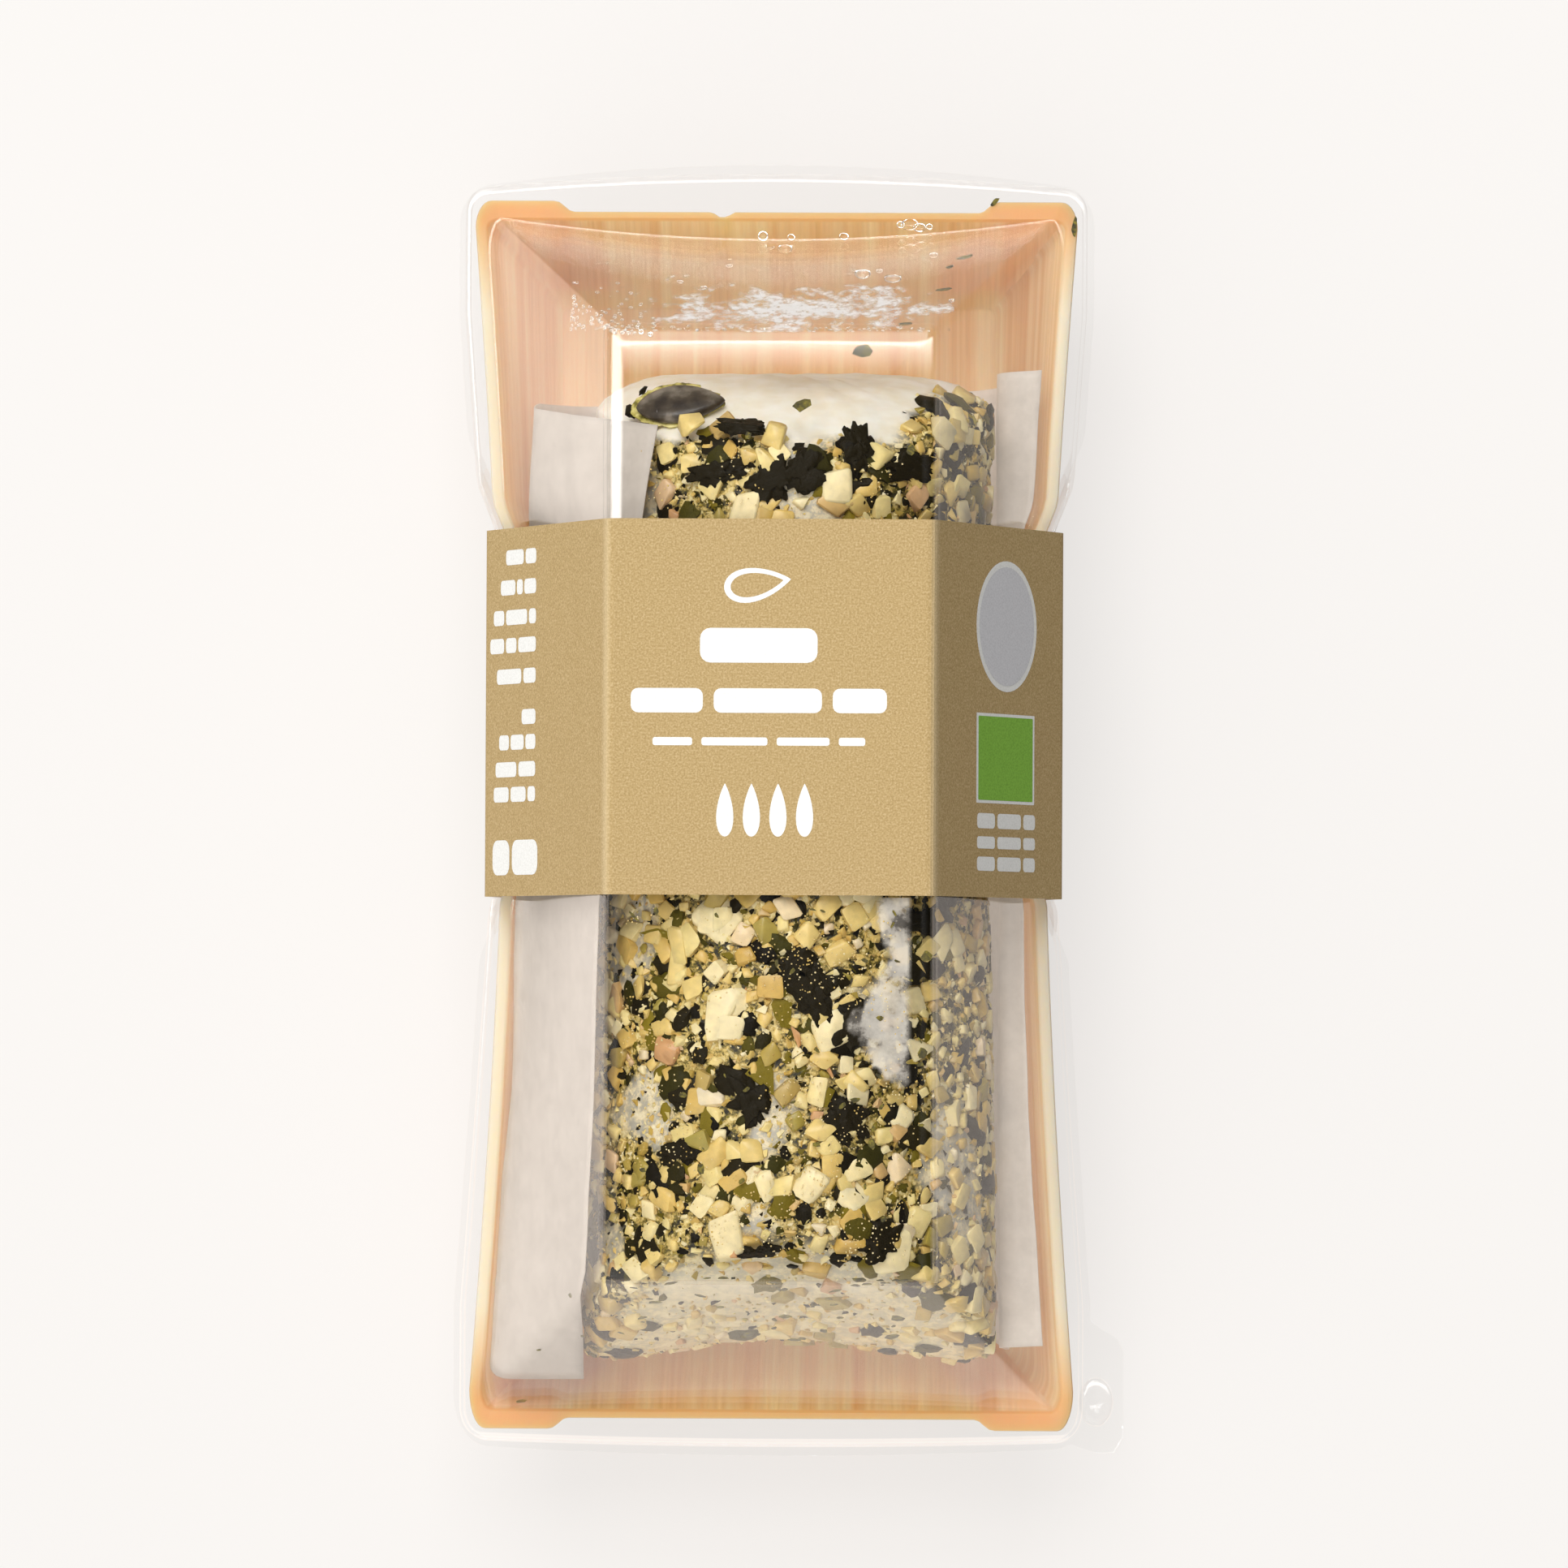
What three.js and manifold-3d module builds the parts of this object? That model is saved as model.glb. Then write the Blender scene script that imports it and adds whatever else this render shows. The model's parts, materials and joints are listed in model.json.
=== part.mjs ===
// A retail pack of soft sheep cheese, lying on its back. The log of fresh cheese is rolled in chopped pumpkin
// seed and lies on a sheet of greaseproof paper in a tray of folded wood veneer. A clear formed lid with
// sloping sides sits over the tray's rim, and a printed board sleeve round the middle holds the pack shut.
// +X is the pack's right side, +Y its upper end and +Z its front. All sizes are in millimetres.
import * as THREE from "three";
import { mergeVertices } from "three/addons/utils/BufferGeometryUtils.js";
import Module from "manifold-3d";

// Sheet thicknesses, and the air between two pieces that lie on each other
const BOARD = 0.45;
const VENEER = 1.1;
const FILM = 0.4;
const PAPER = 0.2;
const AIR = 0.15;

// Heights above the surface that the pack lies on
const TRAY_UNDERSIDE = 2 * BOARD + AIR;
const TRAY_FLOOR = TRAY_UNDERSIDE + VENEER;
const RIM_HEIGHT = 19;
const FLANGE_TOP = RIM_HEIGHT + AIR + FILM;
const LID_TOP = 44.2;
const SLEEVE_TOP = LID_TOP + AIR + BOARD;

// Sleeve: its place along the pack, and the corners of its six-sided section
const SLEEVE_LOW_END = -9.0;
const SLEEVE_HIGH_END = 27.8;
const SLEEVE_FRONT_HALF = 15.95;
const SLEEVE_SIDE_HALF = 29.1;
const SLEEVE_SIDE_HEIGHT = 20;
const SLEEVE_BASE_HALF = 23.6;
const SLEEVE_FOLD_RADIUS = 0.6;
const GLUE_FLAP_EDGE = -8;
const SLEEVE_RELIEF = 0.4; // how fast a squeezed side springs out again beyond the sleeve's ends

// Tray: its rim, its floor, and the tabs folded round onto the end walls
const TRAY_RIM_HALF_WIDTH = 30.6;
const TRAY_RIM_HALF_LENGTH = 60.8;
const TRAY_RIM_BOW = 3.2;
const TRAY_FLOOR_HALF_WIDTH = 22.4;
const TRAY_FLOOR_HALF_LENGTH = 52;
const TRAY_FLOOR_BOW = 0.3;
const TRAY_BOW_POWER = 1.5;
const TRAY_CORNER = 1.6;
const TRAY_SHIFT = -0.6;
const WALL_ACROSS = VENEER * 1.1; // a leaning wall's thickness measured level
const FOLD_RADIUS = 0.8;
const TAB_LENGTH = 10;
const TAB_EDGE = 0.9;
const TAB_LOW = 4.5;
const TAB_RISE = 0.6;

// Lid: front panel, foot of the sloping walls, flange over the rim, skirt, lip and pull tab
const PANEL_HALF_WIDTH = 15.7;
const PANEL_HALF_LENGTH = 46.3;
const PANEL_CORNER = 1.4;
const PANEL_BEND = 0.06; // share of the wall's slope taken by the bend at the panel's edge
const FOOT_INSET = 1.3;
const FOOT_HALF_LENGTH = 58.1;
const FOOT_END_BOW = -1.9;
const FOOT_CORNER = 3;
const FLANGE_HALF_LENGTH = 63.7;
const FLANGE_CORNER = 2;
const FLANGE_TURN = 0.45; // drop of the rounded edge between flange and skirt
const SKIRT_HALF_LENGTH = 64.3;
const SKIRT_DEPTH = 4;
const SKIRT_CORNER = 2.6;
const LIP_HALF_WIDTH = 32.1;
const LIP_HALF_LENGTH = 65.2;
const LIP_BOW = 3.1;
const LIP_BOW_REACH = 50;
const LIP_BOW_POWER = 1.2;
const LIP_CORNER = 3.6;
const LIP_WIDTH = 0.8;
const LIP_TUCK = 0.2; // how much further in the sleeve presses a level, per millimetre of its inset
const HIGH_END_BOW = 2.6;
const LOW_END_BOW = 1;
const FLANGE_BOW_SHARE = 0.6;
const PULL_TAB_ROOT = 29.5;
const PULL_TAB_EDGE = 35.5;
const PULL_TAB_TOP = -50.6;
const PULL_TAB_BOTTOM = -65;
const PULL_TAB_SHOULDER = 3.2;
const PULL_TAB_CORNER = 2;

// Liner: where its ends lie at the left edge, at the left bend and at the right edge
const LINER_BEND_SHARE = 0.27;
const LINER_LOW_ENDS = [-56, -57.6, -53.8];
const LINER_HIGH_ENDS = [37.2, 40.8, 44.2];
const LINER_ROOM = 0.6;

// Log: an almost round bar that lies a little to the right in the tray
const LOG_CENTRE_X = 1.8;
const LOG_HALF_WIDTH = 20.3;
const LOG_UNDERSIDE = 3.3;
const LOG_TOP = 43.2;
const LOG_SQUARENESS = 2.1;
const LOG_EDGE_RADIUS = 2;
const LOG_SQUEEZE = 0.7;
const SQUEEZE_REACH = 45;

// The log's two end faces: where each reaches furthest, at which height, and how far it lies from there at
// the sides, at the top and at the underside, with how sharply it turns towards them
const LOW_FACE = { end: -53.6, foremost: 20, sides: -3.3, turn: 2, above: 8.5, lean: 1.15, below: 4.2 };
const HIGH_FACE = { end: 43.9, foremost: 22, sides: -1.9, turn: 4, above: -7, lean: 1.6, below: -3.3 };

// Crust: chopped seed all round the log, from its lower end to the bare upper face
const CRUST_HIGH_END = 36;
const CRUST_BARE_RIM = 3;
const GRAIN_COUNT = 232;
const GRAIN_SIZES = [1.1, 2.3];
const GRAIN_SINK = 0.22;
const GRAIN_SEED = 140;
const WHOLE_SEED_SIZE = 4.4;
const WHOLE_SEED_X = -7.4;
const WHOLE_SEED_HEIGHT = 37;

const wasm = await Module();
wasm.setup();

const mix = (a, b, t) => a + (b - a) * t;
const clamp = (v, low, high) => Math.min(high, Math.max(low, v));

function solidFrom(geometry) {
  const bare = geometry.clone();
  bare.deleteAttribute("normal");
  bare.deleteAttribute("uv");
  const merged = mergeVertices(bare, 1e-4);
  const triVerts = new Uint32Array(merged.index.array);
  const vertProperties = merged.attributes.position.array;
  return new wasm.Manifold(new wasm.Mesh({ numProp: 3, vertProperties, triVerts }));
}

function geometryFrom(solid) {
  const mesh = solid.getMesh();
  const geometry = new THREE.BufferGeometry();
  geometry.setAttribute("position", new THREE.BufferAttribute(mesh.vertProperties, 3));
  geometry.setIndex(new THREE.BufferAttribute(mesh.triVerts, 1));
  geometry.computeVertexNormals();
  return geometry;
}

// A skin through closed rings of equally many points, with a fan over the first and the last ring where a
// middle point is given for it. Its faces point outwards where the rings run counter-clockwise and rise.
function loft(rings, firstMiddle, lastMiddle) {
  const count = rings[0].length;
  const points = rings.flat();
  const faces = [];
  for (let r = 0; r + 1 < rings.length; r += 1) {
    for (let i = 0; i < count; i += 1) {
      const a = r * count + i;
      const b = r * count + ((i + 1) % count);
      faces.push(a, b, b + count, a, b + count, a + count);
    }
  }
  const last = (rings.length - 1) * count;
  if (firstMiddle) {
    points.push(firstMiddle);
    for (let i = 0; i < count; i += 1) {
      faces.push(points.length - 1, (i + 1) % count, i);
    }
  }
  if (lastMiddle) {
    points.push(lastMiddle);
    for (let i = 0; i < count; i += 1) {
      faces.push(points.length - 1, last + i, last + ((i + 1) % count));
    }
  }
  const geometry = new THREE.BufferGeometry().setFromPoints(points);
  geometry.setIndex(faces);
  geometry.computeVertexNormals();
  return geometry;
}

// A sheet's solid through rings that each run out along one face and back along the other
function sheetSolid(rings) {
  const body = loft(rings);
  const count = rings[0].length;
  const last = (rings.length - 1) * count;
  const faces = Array.from(body.index.array);
  for (let i = 0; i + 1 < count / 2; i += 1) {
    const back = count - 1 - i;
    faces.push(i, back, back - 1, i, back - 1, i + 1);
    faces.push(last + i, last + back - 1, last + back, last + i, last + i + 1, last + back - 1);
  }
  body.setIndex(faces);
  body.computeVertexNormals();
  return body;
}

// A polygon with each side moved inwards by a distance
function insetPolygon(corners, distance) {
  return corners.map((corner, i) => {
    const before = corners[(i + corners.length - 1) % corners.length];
    const after = corners[(i + 1) % corners.length];
    const sideIn = new THREE.Vector2().subVectors(corner, before).normalize();
    const sideOut = new THREE.Vector2().subVectors(after, corner).normalize();
    const normalIn = new THREE.Vector2(-sideIn.y, sideIn.x);
    const normalOut = new THREE.Vector2(-sideOut.y, sideOut.x);
    const scale = distance / (1 + normalIn.dot(normalOut));
    return corner.clone().addScaledVector(normalIn.add(normalOut), scale);
  });
}

// Adds a closed outline to a path, with a small curve instead of each corner
function drawRounded(path, corners, radius) {
  corners.forEach((corner, i) => {
    const before = corners[(i + corners.length - 1) % corners.length];
    const after = corners[(i + 1) % corners.length];
    const cutIn = Math.min(radius, corner.distanceTo(before) / 2);
    const cutOut = Math.min(radius, corner.distanceTo(after) / 2);
    const start = corner.clone().lerp(before, cutIn / corner.distanceTo(before));
    const end = corner.clone().lerp(after, cutOut / corner.distanceTo(after));
    if (i === 0) {
      path.moveTo(start.x, start.y);
    } else {
      path.lineTo(start.x, start.y);
    }
    path.quadraticCurveTo(corner.x, corner.y, end.x, end.y);
  });
  path.closePath();
}

// Sleeve: one strip of board folded round the closed pack, with its ends glued over each other underneath.
// Its section runs counter-clockwise from the lower right corner, seen from the pack's lower end.
const sleeveOutside = [
  new THREE.Vector2(SLEEVE_BASE_HALF, 0),
  new THREE.Vector2(SLEEVE_SIDE_HALF, SLEEVE_SIDE_HEIGHT),
  new THREE.Vector2(SLEEVE_FRONT_HALF, SLEEVE_TOP),
  new THREE.Vector2(-SLEEVE_FRONT_HALF, SLEEVE_TOP),
  new THREE.Vector2(-SLEEVE_SIDE_HALF, SLEEVE_SIDE_HEIGHT),
  new THREE.Vector2(-SLEEVE_BASE_HALF, 0),
];
const sleeveInside = insetPolygon(sleeveOutside, BOARD);

function sleeve() {
  const outline = new THREE.Shape();
  drawRounded(outline, sleeveOutside, SLEEVE_FOLD_RADIUS);
  const [base, side, front, frontLeft, sideLeft, baseLeft] = sleeveInside;
  const flapCorner = baseLeft.clone().lerp(sideLeft, BOARD / (sideLeft.y - baseLeft.y));
  const flapEdgeTop = new THREE.Vector2(GLUE_FLAP_EDGE, 2 * BOARD);
  const flapEdgeFoot = new THREE.Vector2(GLUE_FLAP_EDGE, BOARD);
  const opening = new THREE.Path();
  const inside = [base, side, front, frontLeft, sideLeft, flapCorner, flapEdgeTop, flapEdgeFoot];
  drawRounded(opening, inside, SLEEVE_FOLD_RADIUS / 3);
  outline.holes.push(opening);
  const depth = SLEEVE_HIGH_END - SLEEVE_LOW_END;
  const loop = new THREE.ExtrudeGeometry(outline, { depth, bevelEnabled: false, curveSegments: 3 });
  loop.rotateX(Math.PI / 2);
  loop.translate(0, SLEEVE_HIGH_END, 0);
  return loop;
}

// Half the width that the sleeve leaves free at a height, and more of it beyond its ends
function roomInSleeve(y, z) {
  const [base, side, front] = sleeveInside;
  const lower = mix(base.x, side.x, (z - base.y) / (side.y - base.y));
  const upper = mix(side.x, front.x, (z - side.y) / (front.y - side.y));
  const beyond = Math.max(0, SLEEVE_LOW_END - y, y - SLEEVE_HIGH_END);
  return Math.min(lower, upper) - AIR + beyond * SLEEVE_RELIEF;
}

// How far the sleeve squeezes the pack at a place along it, from 0 to 1
function squeezeAt(y) {
  const sleeveMiddle = (SLEEVE_LOW_END + SLEEVE_HIGH_END) / 2;
  return Math.max(0, 1 - ((y - sleeveMiddle) / SQUEEZE_REACH) ** 2);
}

// Half the width along a side that bows in from its ends to a waist
function bowedSide(y, halfWidth, bow, reach, power) {
  const u = Math.min(1, Math.abs(y) / reach);
  return halfWidth - bow * (1 - u ** power);
}

// Places along a long side, closer together where the sleeve squeezes it
function sideStations(straight) {
  const spring = 4;
  const low = SLEEVE_LOW_END - spring;
  const high = SLEEVE_HIGH_END + spring;
  return [
    -straight,
    mix(-straight, low, 0.4),
    mix(-straight, low, 0.75),
    low,
    SLEEVE_LOW_END,
    mix(SLEEVE_LOW_END, SLEEVE_HIGH_END, 0.5),
    SLEEVE_HIGH_END,
    high,
    mix(high, straight, 0.25),
    mix(high, straight, 0.6),
    straight,
  ];
}

// One closed outline of the pack seen from the front, counter-clockwise from the low end of its right side.
// side(y) is half its width there and end(x, sign) how far its high or low end reaches, with endPlaces as
// shares of the straight stretch of an end.
function planRing({ side, end, corner, z, straight, endPlaces }) {
  const cornerSteps = 3;
  const ring = [];
  const reach = side(straight) - corner;
  const along = sideStations(straight);
  const arc = (signX, signY, from) => {
    for (let k = 1; k < cornerSteps; k += 1) {
      const angle = from + (k / cornerSteps) * (Math.PI / 2);
      const x = signX * reach + corner * Math.cos(angle);
      const y = signY * straight + (end(reach, signY) - straight) * Math.sin(angle);
      ring.push(new THREE.Vector3(x, y, z));
    }
  };
  along.forEach((y) => ring.push(new THREE.Vector3(side(y), y, z)));
  arc(1, 1, 0);
  endPlaces.forEach((f) => ring.push(new THREE.Vector3(f * reach, end(f * reach, 1), z)));
  arc(-1, 1, Math.PI / 2);
  along.toReversed().forEach((y) => ring.push(new THREE.Vector3(-side(y), y, z)));
  arc(-1, -1, Math.PI);
  endPlaces.toReversed().forEach((f) => ring.push(new THREE.Vector3(f * reach, -end(f * reach, -1), z)));
  arc(1, -1, (3 * Math.PI) / 2);
  return ring;
}

// Tray: one sheet of veneer, scored and folded up into four leaning walls. The ends of its long walls turn
// the corners and lie as tabs on the outside of the short walls.
function trayRise(z) {
  return (z - TRAY_FLOOR) / (RIM_HEIGHT - TRAY_FLOOR);
}

function trayOuterSide(y, z) {
  const reach = TRAY_RIM_HALF_LENGTH;
  const floorHalf = TRAY_FLOOR_HALF_WIDTH + WALL_ACROSS;
  const floor = bowedSide(y, floorHalf, TRAY_FLOOR_BOW, reach, TRAY_BOW_POWER);
  const freeRim = bowedSide(y, TRAY_RIM_HALF_WIDTH, TRAY_RIM_BOW, reach, TRAY_BOW_POWER);
  const rim = Math.min(freeRim, roomInSleeve(y, RIM_HEIGHT) - FILM - 3 * AIR);
  return mix(floor, rim, trayRise(z));
}

function trayOuterEnd(z) {
  return mix(TRAY_FLOOR_HALF_LENGTH + WALL_ACROSS, TRAY_RIM_HALF_LENGTH, trayRise(z));
}

function trayRing(z, inset, tab) {
  const halfLength = trayOuterEnd(z) - inset;
  const halfWidth = trayOuterSide(TRAY_RIM_HALF_LENGTH, z) - inset;
  const corner = TRAY_CORNER - inset / 2;
  const straight = halfLength - corner - Math.abs(TRAY_SHIFT);
  const tabFoot = (halfWidth - TAB_LENGTH) / (halfWidth - corner);
  const tabFull = tabFoot + TAB_EDGE / (halfWidth - corner);
  const endPlaces = [1, tabFull, tabFoot, tabFoot / 2, 0, -tabFoot / 2, -tabFoot, -tabFull, -1];
  const tabStart = halfWidth - TAB_LENGTH + TAB_EDGE / 2;
  const end = (x, sign) => halfLength + sign * TRAY_SHIFT + (Math.abs(x) > tabStart ? tab : 0);
  const side = (y) => trayOuterSide(y, z) - inset;
  return planRing({ side, end, corner, z, straight, endPlaces });
}

function tray() {
  const rings = [
    trayRing(TRAY_UNDERSIDE, FOLD_RADIUS, 0),
    trayRing(TRAY_UNDERSIDE + FOLD_RADIUS, AIR, 0),
    trayRing(TAB_LOW, 0, 0),
    trayRing(TAB_LOW + TAB_RISE, 0, VENEER),
    trayRing(RIM_HEIGHT, 0, VENEER),
    trayRing(RIM_HEIGHT, WALL_ACROSS, 0),
    trayRing(TRAY_FLOOR + FOLD_RADIUS / 2, WALL_ACROSS, 0),
    trayRing(TRAY_FLOOR, WALL_ACROSS + FOLD_RADIUS / 2, 0),
  ];
  return loft(rings, new THREE.Vector3(0, 0, TRAY_UNDERSIDE), new THREE.Vector3(0, 0, TRAY_FLOOR));
}

// Lid: one thin clear sheet drawn into a shallow box with four sloping walls, a flange that lies on the
// tray's rim, a skirt outside it and a narrow lip, with a tab at the lower right corner to pull it off by.
const evenPlaces = [1, 0.75, 0.5, 0.25, 0, -0.25, -0.5, -0.75, -1];

function footSide(y) {
  return trayOuterSide(y, RIM_HEIGHT) - FOOT_INSET;
}

// A level of the sloping walls: down is 0 at the edge of the front panel and 1 at the foot of the walls
function wallRing(down, z) {
  const footHalf = footSide(TRAY_RIM_HALF_LENGTH);
  const footStraight = FOOT_HALF_LENGTH - FOOT_CORNER;
  const corner = mix(PANEL_CORNER, FOOT_CORNER, clamp(down, 0, 1));
  const straight = mix(PANEL_HALF_LENGTH, FOOT_HALF_LENGTH, down) - corner;
  const side = (y) => mix(PANEL_HALF_WIDTH, footSide((y / straight) * footStraight), down);
  const halfWidth = mix(PANEL_HALF_WIDTH, footHalf, down);
  const footEnd = (x) => FOOT_HALF_LENGTH - FOOT_END_BOW * (x / halfWidth) ** 2;
  const end = (x) => mix(PANEL_HALF_LENGTH, footEnd(x), down);
  return planRing({ side, end, corner, z, straight, endPlaces: evenPlaces });
}

// A level of the flange, skirt or lip: inset is how far it lies inside the lip's edge
function rimRing(inset, halfLength, corner, z, bowShare) {
  const side = (y) => {
    const free = bowedSide(y, LIP_HALF_WIDTH - inset, LIP_BOW, LIP_BOW_REACH, LIP_BOW_POWER);
    return Math.min(free, roomInSleeve(y, z) - inset * LIP_TUCK);
  };
  const halfWidth = side(halfLength);
  const bow = (sign) => bowShare * (sign > 0 ? HIGH_END_BOW : LOW_END_BOW);
  const end = (x, sign) => halfLength - bow(sign) * (x / halfWidth) ** 2;
  const straight = halfLength - corner - bow(1);
  return planRing({ side, end, corner, z, straight, endPlaces: evenPlaces });
}

function lidOuterRings() {
  const bendSteps = 3;
  const rings = [];
  for (let k = 0; k <= bendSteps; k += 1) {
    const t = k / bendSteps;
    const down = PANEL_BEND * (t * t - (1 - t) ** 2);
    rings.push(wallRing(down, mix(LID_TOP, FLANGE_TOP, PANEL_BEND * t * t)));
  }
  [0.5, 0.97, 1].forEach((down) => rings.push(wallRing(down, mix(LID_TOP, FLANGE_TOP, down))));
  const edge = FLANGE_HALF_LENGTH;
  const foot = FLANGE_TOP - SKIRT_DEPTH;
  const turned = FLANGE_TOP - FLANGE_TURN;
  const inset = LIP_WIDTH + FLANGE_TURN;
  rings.push(rimRing(inset, edge - FLANGE_TURN, FLANGE_CORNER, FLANGE_TOP, FLANGE_BOW_SHARE));
  rings.push(rimRing(LIP_WIDTH + AIR, edge, FLANGE_CORNER, turned, FLANGE_BOW_SHARE));
  rings.push(rimRing(LIP_WIDTH, SKIRT_HALF_LENGTH, SKIRT_CORNER, foot, FLANGE_BOW_SHARE));
  rings.push(rimRing(0, LIP_HALF_LENGTH, LIP_CORNER, foot - AIR, 1));
  return rings;
}

// The pull tab: a flat tongue of the same sheet that grows out of the lip
function pullTab() {
  const corners = [
    new THREE.Vector2(PULL_TAB_ROOT, PULL_TAB_BOTTOM + PULL_TAB_CORNER),
    new THREE.Vector2(PULL_TAB_ROOT + PULL_TAB_CORNER, PULL_TAB_BOTTOM),
    new THREE.Vector2(PULL_TAB_EDGE, PULL_TAB_BOTTOM),
    new THREE.Vector2(PULL_TAB_EDGE, PULL_TAB_TOP - PULL_TAB_SHOULDER),
    new THREE.Vector2(LIP_HALF_WIDTH - LIP_WIDTH / 2, PULL_TAB_TOP),
    new THREE.Vector2(LIP_HALF_WIDTH - LIP_WIDTH, PULL_TAB_TOP - PULL_TAB_SHOULDER),
  ];
  const outline = new THREE.Shape();
  drawRounded(outline, corners, PULL_TAB_CORNER);
  const tongue = new THREE.ExtrudeGeometry(outline, { depth: FILM, bevelEnabled: false, curveSegments: 4 });
  tongue.translate(0, 0, FLANGE_TOP - SKIRT_DEPTH - FILM - AIR);
  return tongue;
}

function lid() {
  const outer = lidOuterRings().toReversed();
  const top = new THREE.Vector3(0, 0, LID_TOP);
  const skin = loft(outer, null, top);
  const inner = outer.map((ring, r) => ring.map((point, i) => {
    const normal = new THREE.Vector3();
    normal.fromBufferAttribute(skin.attributes.normal, r * ring.length + i);
    return point.clone().addScaledVector(normal, -FILM);
  }));
  const under = new THREE.Vector3(0, 0, LID_TOP - FILM);
  const shell = loft([...inner.toReversed(), ...outer], under, top);
  return geometryFrom(solidFrom(shell).add(solidFrom(pullTab())));
}

// Half the width inside the tray's walls, and inside the lid's walls
function trayInnerSide(y, z) {
  return trayOuterSide(y, z) - WALL_ACROSS;
}

function lidInnerSide(y, z) {
  const down = (LID_TOP - z) / (LID_TOP - FLANGE_TOP);
  return mix(PANEL_HALF_WIDTH, footSide(y), down) - FILM - 2 * AIR;
}

// How high the paper can stand before it meets the lid's end walls, and how far down the tray's end wall is
function lidCeiling(y) {
  const steepness = (LID_TOP - FLANGE_TOP) / (FOOT_HALF_LENGTH - PANEL_HALF_LENGTH);
  const past = Math.max(0, Math.abs(y) - PANEL_HALF_LENGTH);
  return LID_TOP - FILM - LINER_ROOM - AIR - past * steepness;
}

function trayLowEnd(z) {
  return -(trayOuterEnd(z) - WALL_ACROSS) + TRAY_SHIFT;
}

// Liner: a sheet of paper under the log. Its left side stands up along the walls and folds in over the log's
// shoulder, and its right side stands beside the log. The section runs from the left free edge to the right.
function linerSection(y) {
  const along = clamp((y - LINER_LOW_ENDS[1]) / (LINER_HIGH_ENDS[1] - LINER_LOW_ENDS[1]), 0, 1);
  const ceiling = lidCeiling(y);
  const floor = TRAY_FLOOR + AIR + PAPER;
  const bellyHeight = 20;
  const wallHeight = 9;
  const flapHeight = Math.min(30.5, ceiling - LINER_ROOM);
  const edgeHeight = Math.min(mix(36.6, 42.7, along ** 0.7), ceiling);
  const rightHeight = Math.min(mix(28, 23.5, squeezeAt(y)), ceiling);
  const widest = mix(28.2, 24.1, along);
  const bends = [
    new THREE.Vector3(-mix(18.7, 10.6, along ** 2), y, edgeHeight),
    new THREE.Vector3(-22.8, y, flapHeight),
    new THREE.Vector3(-widest, y, bellyHeight),
    new THREE.Vector3(-(widest - 2), y, wallHeight),
    new THREE.Vector3(-19.4, y, floor + 0.9),
    new THREE.Vector3(-15.5, y, floor),
    new THREE.Vector3(0, y, floor),
    new THREE.Vector3(16.5, y, floor),
    new THREE.Vector3(20.4, y, floor + 0.9),
    new THREE.Vector3(25.4, y, wallHeight),
    new THREE.Vector3(mix(27, 26.2, along), y, 17.5),
    new THREE.Vector3(mix(23.7, 23.2, along), y, rightHeight),
  ];
  const insideWalls = (p) => {
    const side = p.z < RIM_HEIGHT ? trayInnerSide(y, p.z) : lidInnerSide(y, p.z);
    const half = side - LINER_ROOM;
    return new THREE.Vector3(clamp(p.x, -half, half), y, Math.max(floor, p.z));
  };
  const curve = new THREE.CatmullRomCurve3(bends.map(insideWalls), false, "centripetal");
  return (share) => insideWalls(curve.getPoint(share));
}

// How far an end of the liner lies along the pack, by the place across the sheet
function linerEnd([leftEdge, leftBend, rightEdge], share) {
  if (share < LINER_BEND_SHARE) {
    return mix(leftEdge, leftBend, share / LINER_BEND_SHARE);
  }
  return mix(leftBend, rightEdge, (share - LINER_BEND_SHARE) / (1 - LINER_BEND_SHARE));
}

function liner() {
  const across = 22;
  const rowPlaces = [0, 0.045, 0.09, 0.16, 0.32, 0.5, 0.66, 0.82, 1];
  const nearLowEnd = linerSection(TRAY_SHIFT - TRAY_FLOOR_HALF_LENGTH);
  const lowEnd = (share) => {
    const wall = trayLowEnd(nearLowEnd(share).z) + LINER_ROOM;
    return Math.max(linerEnd(LINER_LOW_ENDS, share), wall);
  };
  const rows = rowPlaces.map((place) => {
    const row = [];
    for (let i = 0; i <= across; i += 1) {
      const share = i / across;
      const y = mix(lowEnd(share), linerEnd(LINER_HIGH_ENDS, share), place);
      row.push(linerSection(y)(share));
    }
    return row;
  });
  const lastRow = rows.length - 1;
  const upwards = (j, i) => {
    const alongRow = rows[j][Math.min(across, i + 1)].clone().sub(rows[j][Math.max(0, i - 1)]);
    const upColumn = rows[Math.min(lastRow, j + 1)][i].clone().sub(rows[Math.max(0, j - 1)][i]);
    return alongRow.cross(upColumn).normalize();
  };
  const rings = rows.map((row, j) => {
    const upper = row.map((p, i) => p.clone().addScaledVector(upwards(j, i), PAPER / 2));
    const under = row.map((p, i) => p.clone().addScaledVector(upwards(j, i), -PAPER / 2));
    return [...upper, ...under.toReversed()];
  });
  return sheetSolid(rings);
}

// Log: a bar of fresh cheese. Its upper end is a bare slanted face, its lower end leans with the lid's end
// wall and is hollowed in the middle, and chopped seed is pressed into the rest.
const logMiddle = (LOG_UNDERSIDE + LOG_TOP) / 2;
const logHalfHeight = (LOG_TOP - LOG_UNDERSIDE) / 2;

function logOutline(angle, y, scale) {
  const power = 2 / LOG_SQUARENESS;
  const c = Math.cos(angle);
  const s = Math.sin(angle);
  const halfWidth = LOG_HALF_WIDTH - LOG_SQUEEZE * squeezeAt(y);
  const x = Math.sign(c) * Math.abs(c) ** power * halfWidth * scale;
  const z = Math.sign(s) * Math.abs(s) ** power * logHalfHeight * scale;
  return new THREE.Vector2(LOG_CENTRE_X + x, logMiddle + z);
}

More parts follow.
